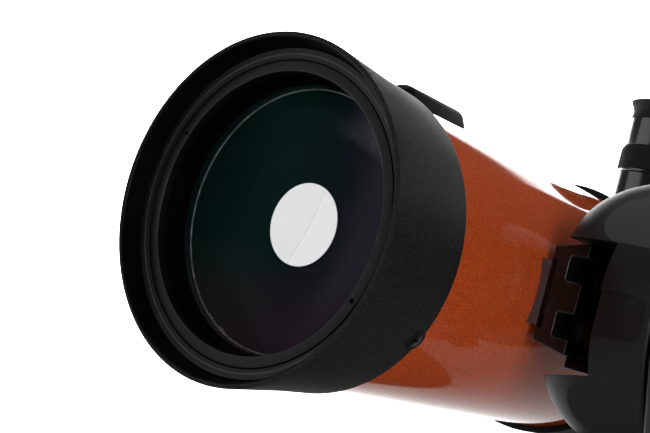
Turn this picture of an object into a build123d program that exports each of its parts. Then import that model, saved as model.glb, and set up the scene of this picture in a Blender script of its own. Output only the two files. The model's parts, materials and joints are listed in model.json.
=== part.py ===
from build123d import *
import math
import os

# Compact telescope on a single-arm altazimuth mount.  Millimetres, +Z up.
# Origin: centre of the base plate's underside, on the azimuth axis.  The tube points to -Y and
# the arm stands on the +X side.

os.makedirs("parts", exist_ok=True)

# ---------------------------------------------------------------- driving dimensions
ALTITUDE_HEIGHT = 325.0  # altitude axis above the base plate's underside
TUBE_PITCH = 23.16  # tube's elevation at rest, degrees
PIVOT_STATION = 140.0  # altitude axis behind the front rim

RIM_R = 64.4  # front cell, outside, at the rim
CELL_REAR_R = 60.9
CELL_LENGTH = 48.0
CELL_SCREW_STATION = 44.5
CELL_SCREW_ANGLES = (90.0, 210.0, 330.0)
RING_R = 56.3
LENS_R = 53.0
LENS_FRONT_CURVE = 118.7
LENS_REAR_CURVE = 122.0
LENS_FRONT_VERTEX = 24.0
LENS_REAR_VERTEX = 33.2
SPOT_R = 15.8

TUBE_R = 58.14
TUBE_INNER_R = 56.6
REAR_CELL_STATION = 220.0
REAR_CELL_R = 61.0
BACK_STATION = 325.0
BAFFLE_R = 15.0

EYEPIECE_STATION = 302.0
EYEPIECE_BARREL_R = 15.875
EYEPIECE_BORE_R = 15.95
HOLDER_BASE = 67.0
HOLDER_TOP = 83.0

FOCUS_X = -38.0
FOCUS_Z = -18.0
FLIP_STATION = 317.0
FLIP_Z = 14.0

BAR_START = 109.0
BAR_LENGTH = 96.0
BAR_FACE_X = 76.3

HUB_R = 54.0
HUB_X = 70.0
HUB_WIDTH = 48.0
SADDLE_START = 118.0
SADDLE_LENGTH = 44.0
SHAFT_R = 10.0
CLAMP_X = 77.3

ARM_X = 119.5
ARM_DEPTH = 40.5
ARM_HEAD_R = 56.0
WALL = 3.5
TURNTABLE_R = 100.0
TURNTABLE_BASE = 28.0
TURNTABLE_TOP = 82.0
HOUSING_END_X = 168.0
HOUSING_END_Y = 67.0
BASE_R = 104.0
BASE_HEIGHT = 24.0
FOOT_HEIGHT = 6.0
SPINDLE_R = 12.0
RUNNING = 0.05  # radial running clearance

FINDER_ANGLE = 115.0
FINDER_START = 93.5
FINDER_LENGTH = 52.0

# ---------------------------------------------------------------- the tube's own frame
PITCH = math.radians(TUBE_PITCH)
FORWARD = Vector(0, -math.cos(PITCH), math.sin(PITCH))
REARWARD = FORWARD * -1
UP = Vector(0, math.sin(PITCH), math.cos(PITCH))
RIM = Vector(0, 0, ALTITUDE_HEIGHT) + FORWARD * PIVOT_STATION


def tube_point(x, station, z):
    """A point given across the tube, behind the rim and above the optical axis."""
    return RIM + REARWARD * station + UP * z + Vector(x, 0, 0)


def across(station):
    """Plane square to the tube: local x is +X and local y is the tube's up."""
    return Plane(origin=tube_point(0, station, 0), x_dir=(1, 0, 0), z_dir=FORWARD)


def lengthwise(x):
    """Plane along the tube: local x runs rearward from the rim and local y is the tube's up."""
    return Plane(origin=tube_point(x, 0, 0), x_dir=REARWARD, z_dir=(1, 0, 0))


def level(z):
    """Plane above the optical axis: local x is +X and local y runs rearward from the rim."""
    return Plane(origin=tube_point(0, 0, z), x_dir=(1, 0, 0), z_dir=UP)


def radial(station, radius, angle):
    """Plane facing out from the tube's axis: local x runs rearward."""
    turn = math.radians(angle)
    out = Vector(math.cos(turn), 0, 0) + UP * math.sin(turn)
    origin = RIM + REARWARD * station + out * radius
    return Plane(origin=origin, x_dir=REARWARD, z_dir=out)


def along_y(x, y, z):
    """Plane that faces +Y, for what lies level along Y."""
    return Plane(origin=(x, y, z), x_dir=(1, 0, 0), z_dir=(0, 1, 0))


def sag(curve, radius):
    """Depth of a spherical surface at a radius."""
    return curve - math.sqrt(curve**2 - radius**2)


def tangent_point(outside, centre, radius):
    """Where a line from an outside point touches a circle, on its anticlockwise side."""
    dx = outside[0] - centre[0]
    dy = outside[1] - centre[1]
    turn = math.atan2(dy, dx) + math.acos(radius / math.hypot(dx, dy))
    return (centre[0] + radius * math.cos(turn), centre[1] + radius * math.sin(turn))


OPTICAL_AXIS = Axis(RIM, REARWARD)
EYEPIECE_AXIS = Axis(tube_point(0, EYEPIECE_STATION, 0), UP)
FOCUS_AXIS = Axis(tube_point(FOCUS_X, 0, FOCUS_Z), REARWARD)
SECTION = lengthwise(0)

# ---------------------------------------------------------------- front cell and corrector
LENS_FRONT_EDGE_R = 51.5
LENS_REAR_EDGE_R = 50.5
LENS_FRONT_EDGE = LENS_FRONT_VERTEX - sag(LENS_FRONT_CURVE, LENS_FRONT_EDGE_R)
LENS_REAR_EDGE = LENS_REAR_VERTEX - sag(LENS_REAR_CURVE, LENS_REAR_EDGE_R)
RING_FRONT = 9.0
SEAT_REAR = 25.5
TUBE_START = 31.0
LENS_POCKET_R = 53.6
CELL_SCREW_PLANES = [radial(CELL_SCREW_STATION, 61.3, a) for a in CELL_SCREW_ANGLES]
CELL_HEAD_PLANES = [radial(CELL_SCREW_STATION, 61.1, a) for a in CELL_SCREW_ANGLES]

with BuildPart() as front_cell:
    with BuildSketch(SECTION):
        with BuildLine():
            Polyline(
                (0, 60.2),
                (0, RIM_R),
                (30.0, RIM_R - 2.56),
                (CELL_LENGTH, CELL_REAR_R),
                (CELL_LENGTH, TUBE_R),
                (TUBE_START, TUBE_R),
                (TUBE_START, 51.5),
                (SEAT_REAR, 51.5),
                (SEAT_REAR, LENS_POCKET_R),
                (13.2, LENS_POCKET_R),
                (13.2, RING_R),
                (RING_FRONT, RING_R),
                (RING_FRONT, 60.2),
                close=True,
            )
        make_face()
    revolve(axis=OPTICAL_AXIS)
    rim_edges = front_cell.edges().filter_by(GeomType.CIRCLE).group_by(SortBy.RADIUS)[-1]
    fillet(rim_edges, 1.5)
    # round pads that carry the countersunk screws
    with BuildSketch(*CELL_SCREW_PLANES):
        Circle(4.6)
    extrude(amount=-3.1)
    with BuildSketch(*CELL_SCREW_PLANES):
        Circle(3.9)
    extrude(amount=-2.4, taper=40, mode=Mode.SUBTRACT)
    with BuildSketch(*CELL_SCREW_PLANES):
        Circle(1.7)
    extrude(amount=-8, mode=Mode.SUBTRACT)

with BuildPart() as front_cell_screws:
    with BuildSketch(*CELL_HEAD_PLANES):
        Circle(3.6)
    extrude(amount=-2.2, taper=40)
    with BuildSketch(*CELL_HEAD_PLANES):
        Circle(1.5)
    extrude(amount=-6)
    with BuildSketch(*CELL_HEAD_PLANES):
        Rectangle(3.8, 0.8)
        Rectangle(0.8, 3.8)
    extrude(amount=-1.2, mode=Mode.SUBTRACT)

with BuildPart() as lens_retaining_ring:
    with BuildSketch(SECTION):
        with BuildLine():
            Polyline(
                (RING_FRONT, 52.0),
                (RING_FRONT, RING_R - 0.1),
                (LENS_FRONT_EDGE, RING_R - 0.1),
                (LENS_FRONT_EDGE, 51.6),
                close=True,
            )
        make_face()
    revolve(axis=OPTICAL_AXIS)
    # the two holes for a pin spanner
    with BuildSketch(across(RING_FRONT)):
        with PolarLocations(53.9, 2, start_angle=154.8):
            Circle(0.9)
    extrude(amount=-2, mode=Mode.SUBTRACT)

with BuildPart() as corrector_lens:
    with BuildSketch(SECTION):
        with BuildLine():
            Line((LENS_FRONT_VERTEX, 0), (LENS_REAR_VERTEX, 0))
            ThreePointArc(
                (LENS_REAR_VERTEX, 0),
                (LENS_REAR_VERTEX - sag(LENS_REAR_CURVE, 25.0), 25.0),
                (LENS_REAR_EDGE, LENS_REAR_EDGE_R),
            )
            Polyline(
                (LENS_REAR_EDGE, LENS_REAR_EDGE_R),
                (LENS_REAR_EDGE, LENS_R),
                (LENS_FRONT_EDGE, LENS_R),
                (LENS_FRONT_EDGE, LENS_FRONT_EDGE_R),
            )
            ThreePointArc(
                (LENS_FRONT_EDGE, LENS_FRONT_EDGE_R),
                (LENS_FRONT_VERTEX - sag(LENS_FRONT_CURVE, 25.0), 25.0),
                (LENS_FRONT_VERTEX, 0),
            )
        make_face()
    revolve(axis=OPTICAL_AXIS)

SPOT_THICKNESS = 0.3
SPOT_CURVE = LENS_REAR_CURVE + SPOT_THICKNESS
SPOT_BACK = LENS_REAR_VERTEX + SPOT_THICKNESS

with BuildPart() as secondary_spot:
    with BuildSketch(SECTION):
        with BuildLine():
            Line((LENS_REAR_VERTEX, 0), (SPOT_BACK, 0))
            ThreePointArc(
                (SPOT_BACK, 0),
                (SPOT_BACK - sag(SPOT_CURVE, 8.0), 8.0),
                (SPOT_BACK - sag(SPOT_CURVE, SPOT_R), SPOT_R),
            )
            Line(
                (SPOT_BACK - sag(SPOT_CURVE, SPOT_R), SPOT_R),
                (LENS_REAR_VERTEX - sag(LENS_REAR_CURVE, SPOT_R), SPOT_R),
            )
            ThreePointArc(
                (LENS_REAR_VERTEX - sag(LENS_REAR_CURVE, SPOT_R), SPOT_R),
                (LENS_REAR_VERTEX - sag(LENS_REAR_CURVE, 8.0), 8.0),
                (LENS_REAR_VERTEX, 0),
            )
        make_face()
    revolve(axis=OPTICAL_AXIS)

with BuildPart() as secondary_baffle:
    with BuildSketch(SECTION):
        with BuildLine():
            ThreePointArc(
                (SPOT_BACK - sag(SPOT_CURVE, 14.4), 14.4),
                (SPOT_BACK - sag(SPOT_CURVE, 14.9), 14.9),
                (SPOT_BACK - sag(SPOT_CURVE, 15.5), 15.5),
            )
            Polyline(
                (SPOT_BACK - sag(SPOT_CURVE, 15.5), 15.5),
                (46.0, 17.0),
                (46.0, 16.0),
                (SPOT_BACK - sag(SPOT_CURVE, 14.4), 14.4),
            )
        make_face()
    revolve(axis=OPTICAL_AXIS)

with BuildPart() as lens_seat_ring:
    with BuildSketch(SECTION):
        with BuildLine():
            Polyline(
                (LENS_REAR_EDGE, 51.1),
                (LENS_REAR_EDGE, LENS_POCKET_R),
                (SEAT_REAR, LENS_POCKET_R),
                (SEAT_REAR, 49.6),
                close=True,
            )
        make_face()
    revolve(axis=OPTICAL_AXIS)

# ---------------------------------------------------------------- optical tube
TUBE_END = 232.0
REAR_SCREW_STATION = 226.0
REAR_SCREW_ANGLES = (10.0, 130.0, 250.0)
REAR_HEAD_PLANES = [radial(REAR_SCREW_STATION, 60.6, a) for a in REAR_SCREW_ANGLES]
BLOCK_STATIONS = (109.5, 183.0)
BLOCK_LENGTH = 21.5
BAR_SCREW_STATIONS = (115.0, 125.5, 188.5, 199.0)
BAR_SCREW_PLANES = [radial(s, BAR_FACE_X, 0) for s in BAR_SCREW_STATIONS]

with BuildPart() as optical_tube:
    with BuildSketch(across(TUBE_START)):
        Circle(TUBE_R)
        Circle(TUBE_INNER_R, mode=Mode.SUBTRACT)
    extrude(amount=-(TUBE_END - TUBE_START))
    with BuildSketch(*CELL_SCREW_PLANES, *REAR_HEAD_PLANES):
        Circle(1.6)
    extrude(amount=-8, mode=Mode.SUBTRACT)
    with BuildSketch(*BAR_SCREW_PLANES):
        Circle(2.1)
    extrude(amount=-22, mode=Mode.SUBTRACT)

# ---------------------------------------------------------------- rear cell
BULKHEAD_FRONT = 268.0
BULKHEAD_REAR = 274.0
WALL_FRONT = 321.0
CHAMBER_R = 57.0
BUSHING_R = 7.0
REAR_PORT_R = 16.0
FLIP_SHAFT_R = 2.0

with BuildPart() as rear_cell:
    with BuildSketch(SECTION):
        with BuildLine():
            Polyline(
                (REAR_CELL_STATION, TUBE_R),
                (REAR_CELL_STATION, REAR_CELL_R - 0.7),
                (REAR_CELL_STATION + 0.8, REAR_CELL_R),
                (BACK_STATION - 5, REAR_CELL_R),
                (BACK_STATION - 1.5, REAR_CELL_R - 1.5),
                (BACK_STATION, REAR_CELL_R - 5),
                (BACK_STATION, 0),
                (WALL_FRONT, 0),
                (WALL_FRONT, CHAMBER_R),
                (BULKHEAD_REAR, CHAMBER_R),
                (BULKHEAD_REAR, 0),
                (BULKHEAD_FRONT, 0),
                (BULKHEAD_FRONT, CHAMBER_R),
                (TUBE_END, CHAMBER_R),
                (TUBE_END, TUBE_R),
                close=True,
            )
        make_face()
    revolve(axis=OPTICAL_AXIS)
    # eyepiece boss
    with BuildSketch(SECTION):
        with BuildLine():
            Polyline(
                (EYEPIECE_STATION, 54.0),
                (EYEPIECE_STATION + 24.0, 54.0),
                (EYEPIECE_STATION + 23.2, 59.5),
                (EYEPIECE_STATION + 21.6, 62.5),
                (EYEPIECE_STATION + 20.4, HOLDER_BASE - 0.6),
                (EYEPIECE_STATION + 20.0, HOLDER_BASE),
                (EYEPIECE_STATION, HOLDER_BASE),
                close=True,
            )
        make_face()
    revolve(axis=EYEPIECE_AXIS)
    with BuildSketch(level(50.0)):
        with Locations((0, EYEPIECE_STATION)):
            Circle(EYEPIECE_BORE_R)
    extrude(amount=20.0, mode=Mode.SUBTRACT)
    # rear light port, focus bushing seat and bulkhead holes
    with BuildSketch(across(WALL_FRONT - 1)):
        Circle(REAR_PORT_R)
        with Locations((FOCUS_X, FOCUS_Z)):
            Circle(BUSHING_R)
    extrude(amount=-6, mode=Mode.SUBTRACT)
    with BuildSketch(across(BULKHEAD_FRONT - 1)):
        Circle(BAFFLE_R)
        with Locations((FOCUS_X, FOCUS_Z)):
            Circle(3.4)
    extrude(amount=-8, mode=Mode.SUBTRACT)
    # flip mirror shaft hole in the far wall
    with BuildSketch(lengthwise(-64.0)):
        with Locations((FLIP_STATION, FLIP_Z)):
            Circle(FLIP_SHAFT_R + RUNNING)
    extrude(amount=12, mode=Mode.SUBTRACT)
    with BuildSketch(*REAR_HEAD_PLANES):
        Circle(3.2)
    extrude(amount=2, mode=Mode.SUBTRACT)
    with BuildSketch(*REAR_HEAD_PLANES):
        Circle(1.6)
    extrude(amount=-5, mode=Mode.SUBTRACT)

with BuildPart() as rear_cell_screws:
    with BuildSketch(*REAR_HEAD_PLANES):
        Circle(2.8)
    extrude(amount=1.6)
    with BuildSketch(*REAR_HEAD_PLANES):
        Circle(1.5)
    extrude(amount=-5)
    with BuildSketch(*[plane.offset(1.6) for plane in REAR_HEAD_PLANES]):
        Rectangle(3.4, 0.7)
        Rectangle(0.7, 3.4)
    extrude(amount=-1.0, mode=Mode.SUBTRACT)

with BuildPart() as baffle_tube:
    with BuildSketch(across(150.0)):
        Circle(BAFFLE_R)
        Circle(BAFFLE_R - 1.8, mode=Mode.SUBTRACT)
    extrude(amount=-(BULKHEAD_REAR - 150.0))

with BuildPart() as focus_bushing:
    with BuildSketch(across(WALL_FRONT)):
        with Locations((FOCUS_X, FOCUS_Z)):
            Circle(BUSHING_R)
            Circle(3.0 + RUNNING, mode=Mode.SUBTRACT)
    extrude(amount=-(BACK_STATION - WALL_FRONT + 1.5))

with BuildPart() as rear_port:
    with BuildSketch(across(BACK_STATION)):
        Circle(22.0)
        Circle(REAR_PORT_R, mode=Mode.SUBTRACT)
    extrude(amount=-2.5)
    with BuildSketch(across(BACK_STATION)):
        Circle(19.0)
        Circle(REAR_PORT_R, mode=Mode.SUBTRACT)
    extrude(amount=-12.0)

# ---------------------------------------------------------------- primary mirror and focuser
MIRROR_FRONT = 238.0
MIRROR_BACK = 248.0
MIRROR_CURVE = 540.0
CARRIER_R = 17.0

with BuildPart() as primary_mirror:
    with BuildSketch(SECTION):
        with BuildLine():
            ThreePointArc(
                (MIRROR_FRONT + 2.5 - sag(MIRROR_CURVE, CARRIER_R), CARRIER_R),
                (MIRROR_FRONT + 2.5 - sag(MIRROR_CURVE, 35.0), 35.0),
                (MIRROR_FRONT + 2.5 - sag(MIRROR_CURVE, 51.0), 51.0),
            )
            Polyline(
                (MIRROR_FRONT + 2.5 - sag(MIRROR_CURVE, 51.0), 51.0),
                (MIRROR_BACK, 51.0),
                (MIRROR_BACK, CARRIER_R),
                (MIRROR_FRONT + 2.5 - sag(MIRROR_CURVE, CARRIER_R), CARRIER_R),
            )
        make_face()
    revolve(axis=OPTICAL_AXIS)

with BuildPart() as mirror_carrier:
    with BuildSketch(across(MIRROR_FRONT - 4)):
        Circle(CARRIER_R)
        Circle(BAFFLE_R + RUNNING, mode=Mode.SUBTRACT)
    extrude(amount=-28.0)
    with BuildSketch(across(MIRROR_BACK)):
        Circle(49.0)
        Circle(BAFFLE_R + RUNNING, mode=Mode.SUBTRACT)
        with Locations((FOCUS_X, FOCUS_Z)):
            Circle(3.0 + RUNNING, mode=Mode.SUBTRACT)
    extrude(amount=-4.0)
    with BuildSketch(across(MIRROR_BACK + 4)):
        with Locations((FOCUS_X, FOCUS_Z)):
            Circle(6.0)
            Circle(3.0 + RUNNING, mode=Mode.SUBTRACT)
    extrude(amount=-6.0)

with BuildPart() as focus_screw:
    with BuildSketch(across(MIRROR_BACK + 4.6)):
        with Locations((FOCUS_X, FOCUS_Z)):
            Circle(3.0)
    extrude(amount=-85.4)

KNOB_START = 327.0
KNOB_R = 10.5

with BuildPart() as focus_knob:
    with BuildSketch(across(KNOB_START)):
        with Locations((FOCUS_X, FOCUS_Z)):
            Circle(KNOB_R - 1.0)
            Circle(3.0, mode=Mode.SUBTRACT)
    extrude(amount=-2.0)
    with BuildSketch(across(KNOB_START + 2)):
        with Locations((FOCUS_X, FOCUS_Z)):
            RegularPolygon(KNOB_R, 16)
            Circle(3.0, mode=Mode.SUBTRACT)
    extrude(amount=-9.0)
    with BuildSketch(across(KNOB_START + 11)):
        with Locations((FOCUS_X, FOCUS_Z)):
            RegularPolygon(KNOB_R, 16)
    extrude(amount=-8.0)
    with BuildSketch(across(KNOB_START + 19)):
        with Locations((FOCUS_X, FOCUS_Z)):
            Circle(KNOB_R - 1.2)
    extrude(amount=-3.0)

# ---------------------------------------------------------------- flip mirror
FLIP_AXIS_POINT = tube_point(0, FLIP_STATION, FLIP_Z)
FLIP_DOWN = (REARWARD + UP) * (-1 / math.sqrt(2))
FLIP_FACE = (FORWARD + UP) * (1 / math.sqrt(2))
FLIP_PLANE = Plane(
    origin=FLIP_AXIS_POINT + FLIP_DOWN * 21.0,
    x_dir=(1, 0, 0),
    z_dir=FLIP_FACE,
)

with BuildPart() as flip_mirror:
    with BuildSketch(FLIP_PLANE):
        RectangleRounded(30.0, 34.0, 2.0)
    extrude(amount=2.5)

with BuildPart() as flip_mirror_holder:
    with BuildSketch(FLIP_PLANE):
        Rectangle(33.0, 36.0)
    extrude(amount=-1.6)
    with BuildSketch(lengthwise(-16.5)):
        with Locations((FLIP_STATION, FLIP_Z)):
            Circle(3.6)
    extrude(amount=33.0)
    with BuildSketch(lengthwise(-66.0)):
        with Locations((FLIP_STATION, FLIP_Z)):
            Circle(FLIP_SHAFT_R)
    extrude(amount=50.0)

with BuildPart() as flip_knob:
    with BuildSketch(lengthwise(-61.5)):
        with Locations((FLIP_STATION, FLIP_Z)):
            Circle(8.0)
            Circle(FLIP_SHAFT_R, mode=Mode.SUBTRACT)
    extrude(amount=-4.5)
    with BuildSketch(lengthwise(-66.0)):
        with Locations((FLIP_STATION, FLIP_Z)):
            Circle(8.0)
    extrude(amount=-1.5)
    with BuildSketch(lengthwise(-67.5)):
        with Locations((FLIP_STATION, FLIP_Z)):
            RectangleRounded(17.0, 5.0, 2.0)
    extrude(amount=-7.0)

# ---------------------------------------------------------------- eyepiece holder and eyepiece
HOLDER_SCREW_Z = 75.5
HOLDER_R = 19.0
THUMB_DIRECTIONS = ((REARWARD - Vector(1, 0, 0)) * (1 / math.sqrt(2)), (REARWARD + Vector(1, 0, 0)) * (1 / math.sqrt(2)))


def eyepiece_point(radius, z):
    return (EYEPIECE_STATION + radius, z)


def thumb_plane(direction, distance):
    """Faces outward from the eyepiece axis at the thumbscrews' height."""
    centre = tube_point(0, EYEPIECE_STATION, HOLDER_SCREW_Z)
    return Plane(origin=centre + direction * distance, x_dir=UP, z_dir=direction)


with BuildPart() as eyepiece_holder:
    with BuildSketch(SECTION):
        with BuildLine():
            Polyline(
                eyepiece_point(EYEPIECE_BORE_R, HOLDER_BASE),
                eyepiece_point(HOLDER_R + 0.6, HOLDER_BASE),
                eyepiece_point(HOLDER_R + 0.6, HOLDER_BASE + 1.6),
                eyepiece_point(HOLDER_R, HOLDER_BASE + 2.2),
                eyepiece_point(HOLDER_R, HOLDER_TOP - 0.6),
                eyepiece_point(HOLDER_R - 0.5, HOLDER_TOP),
                eyepiece_point(EYEPIECE_BORE_R, HOLDER_TOP),
                close=True,
            )
        make_face()
    revolve(axis=EYEPIECE_AXIS)
    with BuildSketch(*[thumb_plane(d, EYEPIECE_BORE_R - 2) for d in THUMB_DIRECTIONS]):
        Circle(1.6)
    extrude(amount=6.0, mode=Mode.SUBTRACT)

with BuildPart() as eyepiece_thumbscrew_1:
    with BuildSketch(thumb_plane(THUMB_DIRECTIONS[0], EYEPIECE_BARREL_R + 0.15)):
        Circle(1.5)
    extrude(amount=6.0)
    with BuildSketch(thumb_plane(THUMB_DIRECTIONS[0], 21.5)):
        RegularPolygon(4.0, 12)
    extrude(amount=5.0)

with BuildPart() as eyepiece_thumbscrew_2:
    with BuildSketch(thumb_plane(THUMB_DIRECTIONS[1], EYEPIECE_BARREL_R + 0.15)):
        Circle(1.5)
    extrude(amount=6.0)
    with BuildSketch(thumb_plane(THUMB_DIRECTIONS[1], 21.5)):
        RegularPolygon(4.0, 12)
    extrude(amount=5.0)

with BuildPart() as eyepiece_barrel:
    with BuildSketch(SECTION):
        with BuildLine():
            Polyline(
                eyepiece_point(14.0, 52.0),
                eyepiece_point(15.4, 52.0),
                eyepiece_point(EYEPIECE_BARREL_R, 52.6),
                eyepiece_point(EYEPIECE_BARREL_R, HOLDER_TOP),
                eyepiece_point(14.0, HOLDER_TOP),
                close=True,
            )
        make_face()
    revolve(axis=EYEPIECE_AXIS)

with BuildPart() as eyepiece_body:
    with BuildSketch(SECTION):
        with BuildLine():
            Polyline(
                eyepiece_point(14.0, HOLDER_TOP),
                eyepiece_point(18.8, HOLDER_TOP),
                eyepiece_point(19.0, 84.6),
                eyepiece_point(17.6, 84.6),
                eyepiece_point(17.6, 97.5),
                eyepiece_point(18.7, 97.5),
                eyepiece_point(19.2, 112.0),
                eyepiece_point(18.7, 112.5),
                eyepiece_point(16.5, 112.5),
                eyepiece_point(16.5, 116.0),
                eyepiece_point(11.5, 116.0),
                eyepiece_point(11.5, 106.5),
                eyepiece_point(14.0, 103.0),
                close=True,
            )
        make_face()
    revolve(axis=EYEPIECE_AXIS)

with BuildPart() as eyepiece_grip:
    with BuildSketch(SECTION):
        with BuildLine():
            Polyline(
                eyepiece_point(17.6, 84.6),
                eyepiece_point(19.9, 84.6),
                eyepiece_point(19.9, 95.2),
                eyepiece_point(18.7, 97.5),
                eyepiece_point(17.6, 97.5),
                close=True,
            )
        make_face()
    revolve(axis=EYEPIECE_AXIS)

with BuildPart() as eyecup:
    with BuildSketch(SECTION):
        with BuildLine():
            Polyline(
                eyepiece_point(16.5, 112.5),
                eyepiece_point(19.1, 112.5),
                eyepiece_point(18.5, 116.5),
                eyepiece_point(20.8, 121.2),
                eyepiece_point(20.9, 122.0),
                eyepiece_point(19.3, 122.0),
                eyepiece_point(16.5, 118.5),
                close=True,
            )
        make_face()
    revolve(axis=EYEPIECE_AXIS)

with BuildPart() as eye_lens:
    with BuildSketch(level(107.5)):
        with Locations((0, EYEPIECE_STATION)):
            Circle(11.5)
    extrude(amount=5.0)
    fillet(eye_lens.edges().sort_by(Axis(EYEPIECE_AXIS.position, UP))[-1], 2.0)

with BuildPart() as field_lens:
    with BuildSketch(level(60.0)):
        with Locations((0, EYEPIECE_STATION)):
            Circle(14.0)
    extrude(amount=5.0)

# ---------------------------------------------------------------- dovetail bar
with BuildPart() as dovetail_bar:
    with BuildSketch(across(BAR_START)):
        with BuildLine():
            Polyline(
                (61.5, 13.2),
                (61.5, 18.7),
                (BAR_FACE_X, 22.0),
                (BAR_FACE_X, 16.0),
                (69.0, 16.0),
                (69.0, 6.0),
                (BAR_FACE_X, 6.0),
                (BAR_FACE_X, -6.0),
                (69.0, -6.0),
                (69.0, -16.0),
                (BAR_FACE_X, -16.0),
                (BAR_FACE_X, -22.0),
                (61.5, -18.7),
                (61.5, -13.2),
                (63.5, -13.2),
                (63.5, 13.2),
                close=True,
            )
        make_face()
    extrude(amount=-BAR_LENGTH)
    with BuildSketch(*BAR_SCREW_PLANES):
        Circle(3.8)
    extrude(amount=-5.0, mode=Mode.SUBTRACT)
    with BuildSketch(*BAR_SCREW_PLANES):
        Circle(2.1)
    extrude(amount=-15.0, mode=Mode.SUBTRACT)

with BuildPart() as dovetail_blocks:
    with BuildSketch(*[across(s) for s in BLOCK_STATIONS]):
        with Locations((57.5, 0)):
            Rectangle(12.0, 26.0)
        Circle(TUBE_R, mode=Mode.SUBTRACT)
    extrude(amount=-BLOCK_LENGTH)
    with BuildSketch(*BAR_SCREW_PLANES):
        Circle(2.1)
    extrude(amount=-20.0, mode=Mode.SUBTRACT)

with BuildPart() as dovetail_screws:
    with BuildSketch(*[radial(s, BAR_FACE_X - 5.0, 0) for s in BAR_SCREW_STATIONS]):
        Circle(3.5)
    extrude(amount=4.0)
    with BuildSketch(*[radial(s, BAR_FACE_X - 5.0, 0) for s in BAR_SCREW_STATIONS]):
        Circle(2.0)
    extrude(amount=-15.5)
    with BuildSketch(*[radial(s, BAR_FACE_X - 1.0, 0) for s in BAR_SCREW_STATIONS]):
        RegularPolygon(1.7, 6)
    extrude(amount=-2.2, mode=Mode.SUBTRACT)

# ---------------------------------------------------------------- finder
FINDER_BASE_TOP = 60.5
FINDER_TOP = 75.5
FINDER_MID = FINDER_START + FINDER_LENGTH / 2
FINDER_DECK = radial(FINDER_MID, FINDER_BASE_TOP, FINDER_ANGLE)
FINDER_NOSE = Plane(
    origin=radial(FINDER_START, 68.5, FINDER_ANGLE).origin,
    x_dir=FINDER_DECK.y_dir,
    z_dir=FORWARD,
)
FINDER_SIDE_DIR = Vector(-math.sin(math.radians(FINDER_ANGLE)), 0, 0) + UP * math.cos(math.radians(FINDER_ANGLE))
FINDER_SIDE = Plane(
    origin=radial(FINDER_MID + 12, 68.0, FINDER_ANGLE).origin + FINDER_SIDE_DIR * 14.0,
    x_dir=REARWARD,
    z_dir=FINDER_SIDE_DIR,
)

with BuildPart() as finder_base:
    with BuildSketch(FINDER_DECK):
        RectangleRounded(40.0, 20.0, 3.0)
    extrude(amount=-6.0)
    with BuildSketch(across(90.0)):
        Circle(TUBE_R)
    extrude(amount=-80.0, mode=Mode.SUBTRACT)

with BuildPart() as finder_body:
    with BuildSketch(FINDER_DECK):
        RectangleRounded(FINDER_LENGTH, 28.0, 7.0)
    extrude(amount=FINDER_TOP - FINDER_BASE_TOP)
    top_edges = finder_body.faces().sort_by(Axis(RIM, FINDER_DECK.z_dir))[-1].edges()
    fillet(top_edges, 5.0)
    with BuildSketch(FINDER_NOSE):
        Circle(5.0)
    extrude(amount=-4.0, mode=Mode.SUBTRACT)
    with BuildSketch(FINDER_SIDE):
        Circle(2.0)
    extrude(amount=-6.0, mode=Mode.SUBTRACT)

with BuildPart() as finder_window:
    with BuildSketch(FINDER_NOSE.offset(-2.0)):
        Circle(5.0)
    extrude(amount=-2.0)

with BuildPart() as finder_knob:
    with BuildSketch(FINDER_SIDE.offset(-5.5)):
        Circle(2.0 - RUNNING)
    extrude(amount=7.0)
    with BuildSketch(FINDER_SIDE.offset(1.0)):
        Circle(5.0)
        with PolarLocations(5.2, 18):
            Circle(0.5, mode=Mode.SUBTRACT)
    extrude(amount=6.0)

# ---------------------------------------------------------------- altitude hub and saddle
HUB_PLATE_X = 96.0
HUB_END_X = HUB_X + HUB_WIDTH
HUB_SHOULDER_R = 40.0  # the hub's rounding toward the tube
HUB_SHOULDER = (HUB_PLATE_X, HUB_R - HUB_SHOULDER_R)
CHANNEL_TOP = 22.06
ALTITUDE_PLANE = Plane(origin=(0, 0, ALTITUDE_HEIGHT), x_dir=(1, 0, 0), z_dir=(0, -1, 0))
ALTITUDE_AXIS = Axis((0, 0, ALTITUDE_HEIGHT), (1, 0, 0))


def shoulder(x):
    """Point on the hub's rounded shoulder."""
    return (x, HUB_SHOULDER[1] + math.sqrt(HUB_SHOULDER_R**2 - (HUB_SHOULDER[0] - x) ** 2))


def hub_plane(angle, distance):
    """Faces outward from the altitude axis, angle counted up from straight ahead."""
    turn = math.radians(angle)
    outward = FORWARD * math.cos(turn) + UP * math.sin(turn)
    return Plane(
        origin=Vector(0, 0, ALTITUDE_HEIGHT) + outward * distance,
        x_dir=(1, 0, 0),
        z_dir=outward,
    )


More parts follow.
